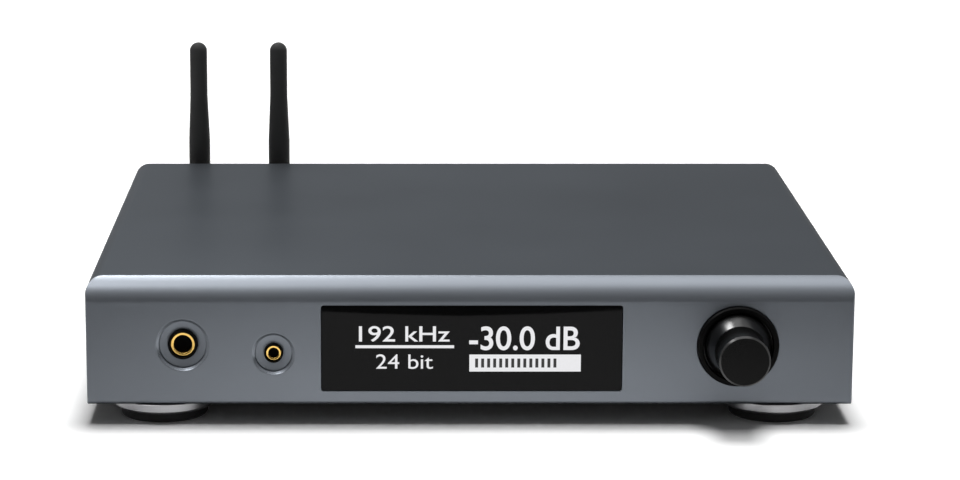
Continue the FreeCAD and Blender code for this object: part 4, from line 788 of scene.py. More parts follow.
words("rate_figures", "192 kHz", mm(-40.4, -7.3), rise(23.7, 29.6), weight=0.006)
plate("rate_rule", mm(-41.7, -5.7), rise(21.3, 22.4))
words("depth_figures", "24 bit", mm(-34.2, -13.4), rise(13.5, 19.0))
words("level_figures", "-30.0 dB", mm(-0.2, 40.1), rise(20.5, 29.5), weight=0.012)
plate("level_bar", mm(-0.1, 40.6), rise(12.5, 18.9))


# Headphone sockets

def jack_pieces(kind, nose_r, ring_r, hole_r):
    """A headphone socket: its gilt sleeve, its black body and a near-black plug just inside its bore, which paints the
    shade deep in the bore.
    """
    ring_low, ring_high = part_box(f"{kind}_jack_ring")
    body_low, body_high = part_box(f"{kind}_jack_body")
    centre = middle(f"{kind}_jack_ring")
    place = (centre.x, 0, centre.z)
    mouth, nose, end = ring_low.y, body_low.y, ring_high.y
    ring = [
        (hole_r, end), (hole_r, mouth + 0.4 * MM, 0.2 * MM), (hole_r + 0.2 * MM, mouth + 0.08 * MM, 0.2 * MM),
        (ring_r - 0.35 * MM, mouth, 0.3 * MM), (ring_r, mouth + 0.35 * MM, 0.3 * MM), (ring_r, end),
    ]
    stand_in(f"{kind}_socket_sleeve", turned(place, "Y", ring, 0.0, 96, True, 3), f"{kind}_jack_ring")
    bore, seat = ring_r + 0.06 * MM, end + 1.0 * MM
    body = [(bore, end), (bore, nose, 0.12 * MM), (nose_r, nose, 0.25 * MM), (nose_r, seat),
            (hole_r + 0.4 * MM, seat), (hole_r + 0.4 * MM, end)]
    sheet = revolved(bmesh.new(), place, "Y", eased(body, 0.0, 3, True), 96, True)
    housing = bmesh.new()
    box_into(housing, (body_low.x, PANEL_BACK, body_low.z), body_high)
    sheet.from_mesh(plain_mesh(bevelled(housing, 0.5 * MM)))
    stand_in(f"{kind}_socket_body", mesh_of(sheet), f"{kind}_jack_body", "jack_black")
    # The bore is closed 1.9 mm in by a near-black cone and tube: painted shade standing for the dark depth of the bore.
    bore_shade_start, bore_shade_r = mouth + 1.9 * MM, hole_r - 0.01 * MM
    bore_shade = [(0.0, bore_shade_start + 0.5 * MM), (bore_shade_r, bore_shade_start), (bore_shade_r, end), (0.0, end)]
    piece(f"{kind}_socket_liner", turned(place, "Y", bore_shade, 0.0, 64, False), "deep_black", "case", slot="black_plastic")


jack_pieces("large", *mm(5.45, 4.7, 3.25))
jack_pieces("small", *mm(3.45, 3.05, 1.8))


# Volume control

KNOB_LOW, KNOB_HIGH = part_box("volume_knob")
COLLAR_LOW, COLLAR_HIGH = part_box("knob_collar")
KNOB_PLACE = (KNOB.x, 0, KNOB.z)
CAP_R, GRIP_R, NECK_R, SKIRT_R, HOLLOW_R = mm(8.6, 9.3, 9.45, 12.3, 8.2)
COLLAR_HOLE_R = 12.65 * MM


def knob_mesh():
    """The knob: a flat cap, a smooth grip and a flared skirt that is hollow behind."""
    cap, rear, hollow = KNOB_LOW.y, KNOB_HIGH.y, FRONT - 4.5 * MM
    mesh = turned(KNOB_PLACE, "Y", [
        (0.0, cap),
        (CAP_R, cap, 0.2 * MM),
        (GRIP_R, cap + 0.7 * MM, 0.25 * MM),
        (NECK_R, FRONT - 8.5 * MM, 0.2 * MM),
        (SKIRT_R - 0.1 * MM, FRONT - 1.9 * MM, 0.5 * MM),
        (SKIRT_R, rear, 0.15 * MM),
        (HOLLOW_R, rear, 0.2 * MM),
        (HOLLOW_R, hollow, 0.4 * MM),
        (0.0, hollow),
    ], 0.2 * MM, 160, False, 5)
    for face in mesh.polygons:
        face.material_index = int(face.center.y < cap + 0.02 * MM)
    return mesh


def collar_mesh():
    """The ring round the skirt, with its front edges rounded."""
    outer, top, seat = COLLAR_HIGH.x - KNOB.x, COLLAR_LOW.y, COLLAR_HIGH.y
    outline = [
        (COLLAR_HOLE_R, seat), (COLLAR_HOLE_R, top + 0.5 * MM, 0.2 * MM), (COLLAR_HOLE_R + 0.35 * MM, top, 0.25 * MM),
        (outer - 0.5 * MM, top, 0.4 * MM), (outer, top + 0.5 * MM, 0.4 * MM), (outer, seat),
    ]
    return turned(KNOB_PLACE, "Y", outline, 0.2 * MM, 160, True, 4)


stand_in("volume_grip", knob_mesh(), "volume_knob", "knob_black", "knob_face")
stand_in("volume_collar", collar_mesh(), "knob_collar", "collar_black")


# Feet

FEET_LOW, FEET_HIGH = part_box("feet")
FOOT_R, PAD_R = mm(19.0, 16.0)
FOOT_PLACES = [(x, y) for x in (FEET_LOW.x + FOOT_R, FEET_HIGH.x - FOOT_R)
               for y in (FEET_LOW.y + FOOT_R, FEET_HIGH.y - FOOT_R)]


def four_turned(outline, segments):
    """The same turned shape at each foot's place."""
    sheet = bmesh.new()
    for x, y in FOOT_PLACES:
        revolved(sheet, (x, y, 0), "Z", outline, segments)
    return mesh_of(sheet)


def feet_mesh():
    low, high = FEET_LOW.z, FEET_HIGH.z
    return four_turned(eased([
        (0.0, low), (FOOT_R - 0.7 * MM, low), (FOOT_R, low + 0.7 * MM), (FOOT_R, high), (0.0, high)], 0.2 * MM, 3), 128)


def pads_mesh():
    """The rubber pads, with three grooves turned into their undersides round a dished middle."""
    under = [mm(0.0, 0.5), mm(3.6, 0.5)]
    for out in (4.0, 7.0, 10.0, 13.0):
        under += [mm(out, 0.0), mm(out + 1.9, 0.0), mm(out + 2.2, 0.4), mm(out + 2.7, 0.4)]
    under = under[:-2] + [(PAD_R - 0.6 * MM, 0.0, 0.5 * MM), (PAD_R, 0.8 * MM, 0.5 * MM)]
    return four_turned(eased(under + [(PAD_R, FEET_LOW.z), (0.0, FEET_LOW.z)], 0.0, 4), 64)


stand_in("turned_feet", feet_mesh(), "feet")
stand_in("rubber_pads", pads_mesh(), "foot_pads")


# Aerials

AERIAL_Y = middle("aerial_whip_left").y
AERIAL_Z = 33.0 * MM
ROD_R, ROD_TIP_R, TONGUE_R, TONGUE_HALF = mm(4.6, 3.75, 3.5, 2.0)
TAPER_Z = mm(62.6, 81.7, 84.0)


def whip_mesh(side):
    """An aerial: a rod with a tapered middle and a round tip, on a tongue that fits the elbow's fork."""
    centre = middle(f"aerial_whip_{side}")
    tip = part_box(f"aerial_whip_{side}")[1].z - ROD_TIP_R
    start = AERIAL_Z + ROD_R + 0.35 * MM
    outline = [
        (0.0, start), (ROD_R - 0.3 * MM, start), (ROD_R, start + 0.4 * MM),
        (ROD_R, TAPER_Z[0], 3.0 * MM), (ROD_TIP_R + 0.03 * MM, TAPER_Z[1], 3.0 * MM), (ROD_TIP_R, TAPER_Z[2], 3.0 * MM),
        (ROD_TIP_R, tip),
    ]
    points = eased(outline, 0.2 * MM, 5) + arc((0, tip), ROD_TIP_R, 0, 90, 12)[1:]
    sheet = revolved(bmesh.new(), (centre.x, AERIAL_Y, 0), "Z", points, 64)
    eye = [(0.0, -TONGUE_HALF), (TONGUE_R, -TONGUE_HALF), (TONGUE_R, TONGUE_HALF), (0.0, TONGUE_HALF)]
    revolved(sheet, (centre.x, AERIAL_Y, AERIAL_Z), "X", eased(eye, 0.2 * MM, 3), 64)
    box_into(sheet, (centre.x - TONGUE_HALF, AERIAL_Y - TONGUE_R, AERIAL_Z),
             (centre.x + TONGUE_HALF, AERIAL_Y + TONGUE_R, start + 0.1 * MM))
    return mesh_of(sheet)


for side in ("left", "right"):
    stand_in(f"{side}_aerial_rod", whip_mesh(side), f"aerial_whip_{side}", "aerial_black")


# Repeated things

class Pattern(Nodes):
    """A Geometry Nodes tree with named inputs. It ends in real geometry that has its finish."""

    def __init__(self, name):
        super().__init__(bpy.data.node_groups.new(name, "GeometryNodeTree"))
        for way in ("INPUT", "OUTPUT"):
            self.tree.interface.new_socket("Geometry", in_out=way, socket_type="NodeSocketGeometry")
        self.start = self.tree.nodes.new("NodeGroupInput")
        self.end = self.tree.nodes.new("NodeGroupOutput")
        self.known = {}

    def ask(self, name, kind):
        """A named input of the tree."""
        socket = self.tree.interface.new_socket(name, in_out="INPUT", socket_type="NodeSocket" + kind)
        self.known[name] = socket.identifier
        return self.start.outputs[name]

    def close(self, points, rotation):
        """Ends the tree: the shape on the points becomes real geometry and gets the finish."""
        shape = self.add("GeometryNodeObjectInfo", None, Object=self.ask("Shape", "Object")).outputs["Geometry"]
        copies = self.add("GeometryNodeInstanceOnPoints", None, Points=points, Instance=shape, Rotation=rotation)
        real = self.add("GeometryNodeRealizeInstances", None, Geometry=copies.outputs[0])
        done = self.add("GeometryNodeSetMaterial", None, Geometry=real.outputs[0],
                        Material=self.ask("Finish", "Material"))
        self.tree.links.new(done.outputs[0], self.end.inputs["Geometry"])
        return self

    def mesh(self, points, shape, finish, **given):
        """The mesh that the tree makes on some points from a shape's mesh, with its other inputs by name."""
        ground = bpy.data.meshes.new("points")
        ground.from_pydata([tuple(p) for p in points], [], [])
        maker = linked("maker", ground)
        model = linked("model", shape)
        modifier = maker.modifiers.new("pattern", "NODES")
        modifier.node_group = self.tree
        for name, value in {"Shape": model, "Finish": finishes[finish], **given}.items():
            modifier[self.known[name]] = value
        made = evaluated(maker)
        maker.modifiers.clear()
        for spent in (maker, model):
            bpy.data.objects.remove(spent)
        return made


def points_pattern():
    """Copies of a shape on points, each turned by chance about its own axis."""
    pattern = Pattern("copies_on_points")
    chance = pattern.add("FunctionNodeRandomValue", {"data_type": "FLOAT_VECTOR"}, Seed=pattern.ask("Seed", "Int"))
    pattern.join(chance.inputs[1], pattern.ask("Spin", "Vector"))
    return pattern.close(pattern.start.outputs["Geometry"], chance.outputs[0])


def row_pattern():
    """Copies of a shape at even steps and turns from a start."""
    pattern = Pattern("even_row")
    line = pattern.add("GeometryNodeMeshLine", {"mode": "OFFSET"}, Count=pattern.ask("Count", "Int"),
                       Start_Location=pattern.ask("Start", "Vector"), Offset=pattern.ask("Step", "Vector"))
    number = pattern.add("GeometryNodeInputIndex")
    turn = pattern.add("ShaderNodeVectorMath", {"operation": "SCALE"}, Vector=pattern.ask("Turn", "Vector"),
                       Scale=number.outputs[0])
    return pattern.close(line.outputs[0], turn.outputs[0])


ON_POINTS = points_pattern()
IN_ROW = row_pattern()
NONE = (0.0, 0.0, 0.0)


def copies(points, shape, finish, spin=NONE, seed=1):
    return ON_POINTS.mesh(points, shape, finish, Seed=seed, Spin=Vector(spin))


def row(count, shape, finish, start=NONE, step=NONE, turn=NONE):
    return IN_ROW.mesh([], shape, finish, Count=count, Start=Vector(start), Step=Vector(step), Turn=Vector(turn))


def joined(*parts, finished=mesh_of):
    """One mesh of several, each given with its number in the piece's list of finishes."""
    sheet = bmesh.new()
    for mesh, number in parts:
        before = len(sheet.faces)
        sheet.from_mesh(mesh)
        sheet.faces.ensure_lookup_table()
        for face in sheet.faces[before:]:
            face.material_index = number
    return finished(sheet)


def all_of(node, make):
    """One mesh of a shape made from the box of each solid of a CAD node."""
    return joined(*((make(low, high), 0) for low, high in solids_of(node)))


# CAD parts with their edges eased

def sheet_of(node):
    """A CAD node's mesh as a bmesh, with its doubles merged."""
    sheet = bmesh.new()
    sheet.from_mesh(NODES[node].data)
    bmesh.ops.remove_doubles(sheet, verts=sheet.verts, dist=1e-6)
    return sheet


def solids_of(node):
    """The box of each separate solid of a CAD node, as (low, high)."""
    sheet = sheet_of(node)
    left = set(sheet.verts)
    boxes = []
    while left:
        group, edge = [], [left.pop()]
        while edge:
            vert = edge.pop()
            group.append(vert.co)
            for link in vert.link_edges:
                other = link.other_vert(vert)
                if other in left:
                    left.remove(other)
                    edge.append(other)
        boxes.append(tuple(Vector(pick(p[i] for p in group) for i in range(3)) for pick in (min, max)))
    sheet.free()
    return sorted(boxes, key=lambda box: tuple(round(v, 5) for v in box[0]))


def eased_copy(node, width, steps=2):
    """A copy of a CAD node's mesh with its flat faces merged and its edges eased."""
    sheet = sheet_of(node)
    bmesh.ops.dissolve_limit(sheet, angle_limit=math.radians(0.5), verts=sheet.verts, edges=sheet.edges)
    return mesh_of(bevelled(sheet, width, steps, 28))


def refined(name, node, width, *finish, extra=None):
    """Puts an eased copy in a CAD node's place, with a further mesh in its second finish."""
    mesh = eased_copy(node, width * MM)
    return stand_in(name, joined((mesh, 0), (extra, 1)) if extra else mesh, node, *finish)


# The level bar's ticks

TICK_COUNT = 14
tick = bmesh.new()
tick_low, tick_high = rise(14.0, 17.4)
tick_y = GLASS_FRONT - 2 * FIGURE_LIFT
box_into(tick, (2.0 * MM, tick_y, tick_low), (3.1 * MM, tick_y + 0.02 * MM, tick_high))
piece("bar_ticks", row(TICK_COUNT, mesh_of(tick), "display_black", NONE, mm(2.2, 0, 0)), "display_black", "case",
      slot="black_glass")


# Screws

def screw_mesh(way, radius, height, shank_r, shank):
    """A screw with a hexagon socket. Its seat is at the origin and its crown points along the way."""
    outline = [(0.0, -shank, 0), (shank_r * 0.8, -shank, 0), (shank_r, -shank + 0.3 * MM, 0), (shank_r, 0.0, 0),
               (radius, 0.0, 0), (radius, 0.6 * height, 0), (0.8 * radius, height, 0), (0.5 * radius, height, 1),
               (0.46 * radius, 0.4 * height, 1), (0.0, 0.3 * height, 1)]
    turn = Vector((0, 0, 1)).rotation_difference(Vector(way)).to_matrix()
    sheet = bmesh.new()
    rows = []
    for r, z, six in outline:
        spots = []
        for n, (x, y) in enumerate(circle((0, 0), r, 12 if r else 1)):
            flat = math.cos(math.pi / 6) if six and n % 2 else 1.0
            spots.append(sheet.verts.new(turn @ Vector((x * flat, y * flat, z))))
        rows.append(spots)
    for first, second in zip(rows, rows[1:]):
        bridged(sheet, first, second)
    return mesh_of(sheet)


def screws(boxes, way, sizes, finish, seed):
    """Screws whose crowns end with some CAD boxes, each turned by chance."""
    radius, height, shank_r, shank = mm(*sizes)
    axis = [abs(v) for v in way].index(1)
    seats = []
    for low, high in boxes:
        seat = (low + high) / 2
        seat[axis] = high[axis] - height if way[axis] > 0 else low[axis] + height
        seats.append(seat)
    return copies(seats, screw_mesh(way, radius, height, shank_r, shank), finish, Vector(way) * 2 * math.pi, seed)


# Each set with its CAD node, the way its crowns point, (crown radius and height, shank radius and length) and its seed
for name, node, way, sizes, seed in (
        ("case_screw_set", "case_screws", (0, 0, -1), (2.7, 1.2, 1.45, 5.5), 3),
        ("foot_screw_set", "foot_screws", (0, 0, 1), (3.45, 2.8, 1.95, 3.6), 5),
        ("panel_screw_set", "panel_screws", (0, 1, 0), (2.7, 1.9, 1.45, 5.5), 7)):
    stand_in(name, screws(solids_of(node), way, sizes, SLOT_OF[node], seed), node)

BOARD_SCREW = (2.7, 1.9, 1.3, 0.2)
heads = solids_of("board_screws")
flat_heads = [box for box in heads if box[1].z - box[0].z < 2.5 * MM]
upright_heads = [box for box in heads if box not in flat_heads]
stand_in("board_screw_set", joined(
    (screws(flat_heads, (0, 0, 1), BOARD_SCREW, "zinc_steel", 9), 0),
    (screws(upright_heads, (0, 1, 0), BOARD_SCREW, "zinc_steel", 11), 0)), "board_screws")


# Sheet metal, boards and what stands on them

for name, node, width in (
        ("rear_sheet", "rear_panel", 0.3), ("base_sheet", "base_plate", 0.3), ("hex_standoffs", "standoffs", 0.3),
        ("display_frame", "display_module", 0.4), ("coil_core", "transformer_core", 0.6),
        ("coil_winding", "transformer_winding", 0.8), ("flat_cable", "ribbon_cable", 0.15),
        ("encoder_case", "encoder_body", 0.3), ("encoder_spindle", "encoder_shaft", 0.12),
        ("encoder_button", "encoder_plunger", 0.12), ("encoder_hex_nut", "encoder_nut", 0.25),
        ("grip_insert", "knob_insert", 0.12)):
    refined(name, node, width)

CAPACITOR_R, VENT_REACH, VENT_HALF, TOP_SUNK = mm(7.9, 5.6, 0.35, 0.3)


def capacitor_mesh(low, high):
    """An upright capacitor with a crimp groove near its foot."""
    spot = (low + high) / 2
    r, groove, ease = CAPACITOR_R, CAPACITOR_R - 0.6 * MM, 0.4 * MM
    outline = [(0.0, low.z), (groove, low.z, 0.5 * MM), (r, low.z + 0.8 * MM, ease), (r, low.z + 3.0 * MM, ease),
               (groove, low.z + 3.6 * MM, ease), (r, low.z + 4.2 * MM, ease), (r, high.z - 1.0 * MM, 0.8 * MM),
               (r - 1.0 * MM, high.z, 0.8 * MM), (r - 1.6 * MM, high.z - TOP_SUNK, 0.2 * MM), (0.0, high.z - TOP_SUNK)]
    return turned((spot.x, spot.y, 0), "Z", outline, 0.2 * MM, 48, False, 3)


def vent_mesh(low, high):
    """The cross scored on a capacitor's top."""
    spot = (low + high) / 2
    sheet = bmesh.new()
    for x, y, lift in ((VENT_HALF, VENT_REACH, 0.03 * MM), (VENT_REACH, VENT_HALF, 0.02 * MM)):
        box_into(sheet, (spot.x - x, spot.y - y, high.z - 0.5 * MM), (spot.x + x, spot.y + y, high.z - TOP_SUNK + lift))
    return mesh_of(sheet)


stand_in("main_capacitors", joined((all_of("capacitors", capacitor_mesh), 0), (all_of("capacitors", vent_mesh), 1)),
         "capacitors", "capacitor_sleeve", "zinc_steel")

FIN_COUNT, FIN_T, HEATSINK_BASE = 6, 1.6 * MM, 3.4 * MM


def heatsink_mesh():
    """The heatsink: a thick base and a row of tapered fins."""
    low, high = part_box("heatsink")
    base = eased_box(low, (high.x, high.y, low.z + HEATSINK_BASE), 0.4 * MM)
    sheet = bmesh.new()
    for vert in box_into(sheet, (0, low.y, low.z + HEATSINK_BASE - 0.2 * MM), (FIN_T, high.y, high.z)):
        if vert.co.z > low.z + 10 * MM:
            vert.co.x += (FIN_T / 2 - vert.co.x) * 0.3
    pitch = (high.x - low.x - FIN_T) / (FIN_COUNT - 1)
    fin = mesh_of(bevelled(sheet, 0.25 * MM, 2))
    return joined((base, 0), (row(FIN_COUNT, fin, "black_anodised", (low.x, 0, 0), (pitch, 0, 0)), 0))


stand_in("finned_heatsink", heatsink_mesh(), "heatsink", "black_anodised")


def chips_mesh():
    """The two amplifier chips, with a row of legs along each side."""
    leg = eased_box(mm(-0.25, -0.9, 0), mm(0.25, 0.9, 0.5), 0.1 * MM, 1)
    out, pitch = mm(0.9, 1.35)
    bodies, legs = [], []
    for low, high in solids_of("amplifier_chips"):
        bodies.append((eased_box((low.x, low.y + out, low.z + 0.3 * MM), (high.x, high.y - out, high.z), 0.3 * MM), 0))
        for y in (low.y + out, high.y - out):
            legs.append((row(10, leg, "nickel", (low.x + out, y, low.z + 0.02 * MM), (pitch, 0, 0)), 1))
    return joined(*bodies, *legs)


stand_in("power_chips", chips_mesh(), "amplifier_chips", "black_plastic", "nickel")
stand_in("cable_headers", all_of("ribbon_headers", lambda low, high: eased_box(low, high, 0.4 * MM)), "ribbon_headers")


def module_mesh():
    """The streaming module's screening can, with a raised lid and a grid of black discs laid on it, painted shade where
    its holes would be.
    """
    low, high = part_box("streamer_module")
    lid_inset, first, pitch, hole_r = mm(1.2, 5.0, 4.8, 0.55)
    can = eased_box(low, (high.x, high.y, high.z - 0.3 * MM), 0.4 * MM)
    lid = eased_box((low.x + lid_inset, low.y + lid_inset, high.z - 0.8 * MM),
                    (high.x - lid_inset, high.y - lid_inset, high.z - 0.04 * MM), 0.3 * MM)
    # Black discs stand for the lid's holes: painted shade, not openings.
    hole_shade_dot = turned(NONE, "Z", [(0.0, 0.0), (hole_r, 0.0), (hole_r, 0.1 * MM), (0.0, 0.1 * MM)], 0.0, 12, False)
    spots = [(low.x + first + i * pitch, low.y + first + j * pitch, high.z - 0.12 * MM)
             for i in range(8) for j in range(6)]
    return joined((can, 0), (lid, 0), (copies(spots, hole_shade_dot, "pad_rubber"), 1))


stand_in("screened_module", module_mesh(), "streamer_module", "zinc_steel", "pad_rubber")

STANDING = ("board_screws", "capacitors", "transformer_core", "heatsink", "amplifier_chips", "ribbon_headers",
            "streamer_module", "network_socket", "usb_socket", "optical_socket", "line_socket_body", "large_jack_body",
            "small_jack_body", "standoffs")
CABLE_ROOM = (Vector(mm(-8, -91, 15)), Vector(mm(22, 12, 34)))


def board_spots(node, count, seed):
    """Places for a board's small parts by kind, clear of each other and of everything that stands on the board."""
    low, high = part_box(node)
    taken = [box for other in STANDING for box in solids_of(other) if box[1].z > low.z and box[0].z < high.z + 3 * MM]
    taken.append(CABLE_ROOM)
    chance = random.Random(seed)
    spots = {"small": [], "middle": [], "large": []}
    used = []
    for number in range(count * 6):
        kind, half = chance.choice((("small", 1.0), ("small", 1.0), ("middle", 2.2), ("large", 4.2)))
        half *= MM
        x = chance.uniform(low.x + half + MM, high.x - half - MM)
        y = chance.uniform(low.y + half + MM, high.y - half - MM)
        clear = all(x + half < a.x or x - half > b.x or y + half < a.y or y - half > b.y for a, b in taken)
        if clear and all(max(abs(x - u[0]), abs(y - u[1])) > half + u[2] + 0.6 * MM for u in used):
            spots[kind].append((x, y, high.z - 0.01 * MM))
            used.append((x, y, half))
        if len(used) >= count:
            break
    return spots


# Each small part with its shape and its number in a board's list of finishes
BOARD_FINISHES = ("green_board", "white_plastic", "black_plastic", "zinc_steel")
SMALL_PARTS = (
    ("small", eased_box(mm(-0.9, -0.5, 0), mm(0.9, 0.5, 0.5), 0.12 * MM, 1), 1),
    ("middle", eased_box(mm(-1.6, -1.9, 0), mm(1.6, 1.9, 1.4), 0.2 * MM, 1), 2),
    ("large", turned(NONE, "Z", [mm(0, 0), mm(3.1, 0, 0.3), mm(3.1, 2.4, 0.5), mm(0, 2.4)], 0.2 * MM, 20, False, 2), 3),
)

for node, count, seed in (("main_board", 90, 21), ("power_board", 50, 22), ("jack_board", 16, 23)):
    spots = board_spots(node, count, seed)
    parts = [(copies(spots[kind], shape.copy(), BOARD_FINISHES[number], NONE, seed), number)
             for kind, shape, number in SMALL_PARTS if spots[kind]]
    stand_in(f"{node}_with_parts", joined((eased_copy(node, 0.15 * MM, 1), 0), *parts), node, *BOARD_FINISHES)


# Rear sockets

REAR_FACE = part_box("rear_panel")[1].y

for name, node, width in (
        ("front_board_sheet", "front_board", 0.15), ("inlet_housing", "mains_inlet", 0.35),
        ("inlet_pins", "mains_blades", 0.45), ("optical_housing", "optical_socket", 0.25),
        ("switch_frame", "power_switch_frame", 0.35), ("line_housing", "line_socket_body", 0.3),
        ("terminal_block", "speaker_block", 0.5)):
    refined(name, node, width)


def network_contacts():
    """The eight sprung contacts under the roof of the network socket."""
    spot = middle("network_socket")
    sheet = bmesh.new()
    for vert in box_into(sheet, (-0.2 * MM, REAR_FACE - 12.0 * MM, 0.0), (0.2 * MM, REAR_FACE - 4.0 * MM, 0.3 * MM)):
        if vert.co.y < REAR_FACE - 8 * MM:
            vert.co.z += 3.0 * MM
    return row(8, mesh_of(sheet), "gilt", (spot.x - 3.5 * MM, 0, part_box("network_socket")[0].z + 2.6 * MM), mm(1, 0, 0))


def usb_contacts():
    """The four flat contacts on the tongue of the USB socket."""
    low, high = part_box("usb_socket")
    tongue = low.z + 3.95 * MM
    contact = eased_box((-0.5 * MM, high.y - 7.4 * MM, tongue - 0.08 * MM),
                        (0.5 * MM, high.y - 1.8 * MM, tongue + 0.1 * MM), 0.05 * MM, 1)
    return row(4, contact, "gilt", (middle("usb_socket").x - 3.6 * MM, 0, 0), mm(2.4, 0, 0))


refined("network_shell", "network_socket", 0.25, SLOT_OF["network_socket"], "gilt", extra=network_contacts())
refined("usb_shell", "usb_socket", 0.2, SLOT_OF["usb_socket"], "gilt", extra=usb_contacts())


def line_shell(low, high):
    """A line socket's shell, rolled at the mouth."""
    spot, out = (low + high) / 2, (high.x - low.x) / 2
    return turned((spot.x, 0, spot.z), "Y", [
        (out - 0.5 * MM, low.y), (out, low.y), (out, high.y - 0.4 * MM, 0.3 * MM), (out - 0.2 * MM, high.y, 0.2 * MM),
        (out - 0.5 * MM, high.y - 0.1 * MM, 0.1 * MM)], 0.1 * MM, 48, True, 3)


def line_core(low, high):
    """A line socket's insulator, with the bore for a plug's pin."""
    spot, out = (low + high) / 2, (high.x - low.x) / 2
    bore_r, bore_end = 1.7 * MM, high.y - 9.0 * MM
    return turned((spot.x, 0, spot.z), "Y", [
        (bore_r, bore_end), (bore_r, high.y - 0.4 * MM, 0.3 * MM), (2.1 * MM, high.y, 0.2 * MM),
        (out - 0.3 * MM, high.y, 0.2 * MM), (out, high.y - 0.3 * MM, 0.1 * MM), (out, low.y), (0.0, low.y),
        (0.0, bore_end)], 0.1 * MM, 48, False, 3)


stand_in("line_out_shells", all_of("line_socket_shells", line_shell), "line_socket_shells")
stand_in("line_out_cores", all_of("line_socket_insulators", line_core), "line_socket_insulators")


# Speaker terminals

STUD_R, PITCH, THREADED, THREAD_DEPTH = mm(2.95, 0.7, 14.0, 0.3)
THREADS = 18
TERMINALS = ("left_minus", "left_plus", "right_minus", "right_plus")
RIB_COUNT = 24


def stud_mesh(low, high):
    """A plated stud, threaded and bored for a plug."""
    spot, r, end = (low + high) / 2, STUD_R, high.y
    outline = [(0.0, low.y), (r - 0.4 * MM, low.y), (r, low.y + 0.4 * MM), (r, end - THREADED)]
    for number in range(THREADS):
        thread = end - THREADED + number * PITCH
        outline += [(r - THREAD_DEPTH, thread + PITCH / 2), (r, thread + PITCH)]
    outline += [(r, end - 0.5 * MM), (r - 0.4 * MM, end), (2.3 * MM, end), (2.05 * MM, end - 0.3 * MM),
                (2.05 * MM, end - 12.0 * MM), (0.0, end - 12.6 * MM)]
    return mesh_of(revolved(bmesh.new(), (spot.x, 0, spot.z), "Y", outline, 40))


stand_in("terminal_studs", all_of("speaker_studs", stud_mesh), "speaker_studs")


def cap_mesh(node):
    """A terminal's screw cap: a collar, a waist and a ribbed grip, open along its middle."""
    low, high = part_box(node)
    spot, out = (low + high) / 2, (high.x - low.x) / 2
    grip, bore = out - 0.55 * MM, 3.1 * MM
    waist = grip - 0.9 * MM
    barrel = turned((spot.x, 0, spot.z), "Y", [
        (bore, low.y), (out - 0.2 * MM, low.y, 0.2 * MM), (out, low.y + 0.4 * MM, 0.2 * MM),
        (out, low.y + 2.2 * MM, 0.3 * MM), (waist, low.y + 3.0 * MM, 0.3 * MM), (waist, low.y + 4.2 * MM, 0.3 * MM),
        (grip, low.y + 5.0 * MM, 0.3 * MM), (grip, high.y - 1.2 * MM, 0.5 * MM), (grip - 1.0 * MM, high.y, 0.3 * MM),
        (3.5 * MM, high.y, 0.2 * MM), (bore, high.y - 0.5 * MM, 0.2 * MM)], 0.1 * MM, 72, True, 3)
    rib = bmesh.new()
    for vert in box_into(rib, (grip - 0.4 * MM, low.y + 5.2 * MM, -0.42 * MM),
                         (out - 0.05 * MM, high.y - 1.4 * MM, 0.42 * MM)):
        if vert.co.x > grip + 0.2 * MM:
            vert.co.z *= 0.55
            vert.co.y += 0.35 * MM if vert.co.y < spot.y else -0.35 * MM
    ribs = row(RIB_COUNT, mesh_of(rib), SLOT_OF[node], (spot.x, 0, spot.z), NONE, (0, 2 * math.pi / RIB_COUNT, 0))
    return joined((barrel, 0), (ribs, 0))


# The bars of a terminal's mark, each as half its width and half its height, and the mark's height above the cap
MARK_BARS, MARK_UP = (mm(0.9, 0.2), mm(0.2, 0.9)), 7.2 * MM
BLOCK_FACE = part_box("speaker_block")[1].y


def mark_mesh(which):
    """The raised minus or plus above a terminal."""
    spot = middle(f"speaker_cap_{which}")
    y, z = BLOCK_FACE - 0.03 * MM, spot.z + MARK_UP
    sheet = bmesh.new()
    for half, tall in MARK_BARS if which.endswith("plus") else MARK_BARS[:1]:
        box_into(sheet, (spot.x - half, y - 0.06 * MM, z - tall), (spot.x + half, y + 0.03 * MM, z + tall))
    return mesh_of(sheet)


for which in TERMINALS:
    stand_in(f"{which}_terminal_cap", cap_mesh(f"speaker_cap_{which}"), f"speaker_cap_{which}")
for which in TERMINALS:
    piece(f"{which}_mark", mark_mesh(which), "white_plastic", "case", slot="black_plastic")


# Words printed on the rear, each with its middle, its lower edge, its width and its height in millimetres

for name, text, across, low, width, height in (
        ("speaker_words", "SPEAKERS", 61.5, 50.0, 13.5, 1.5), ("line_words", "LINE OUT", 18.0, 46.2, 12.0, 1.6),
        ("line_left_word", "L", 10.0, 38.2, 1.0, 1.6), ("line_right_word", "R", 10.0, 20.8, 1.2, 1.6),
        ("optical_words", "OPTICAL", -40.0, 27.6, 10.5, 1.5), ("network_words", "NETWORK", -95.9, 31.0, 12.5, 1.5)):
    words(name, text, mm(across + width / 2, across - width / 2), mm(low, low + height), "print_white",
          REAR_FACE + 0.03 * MM, "black_steel")


# Power switch

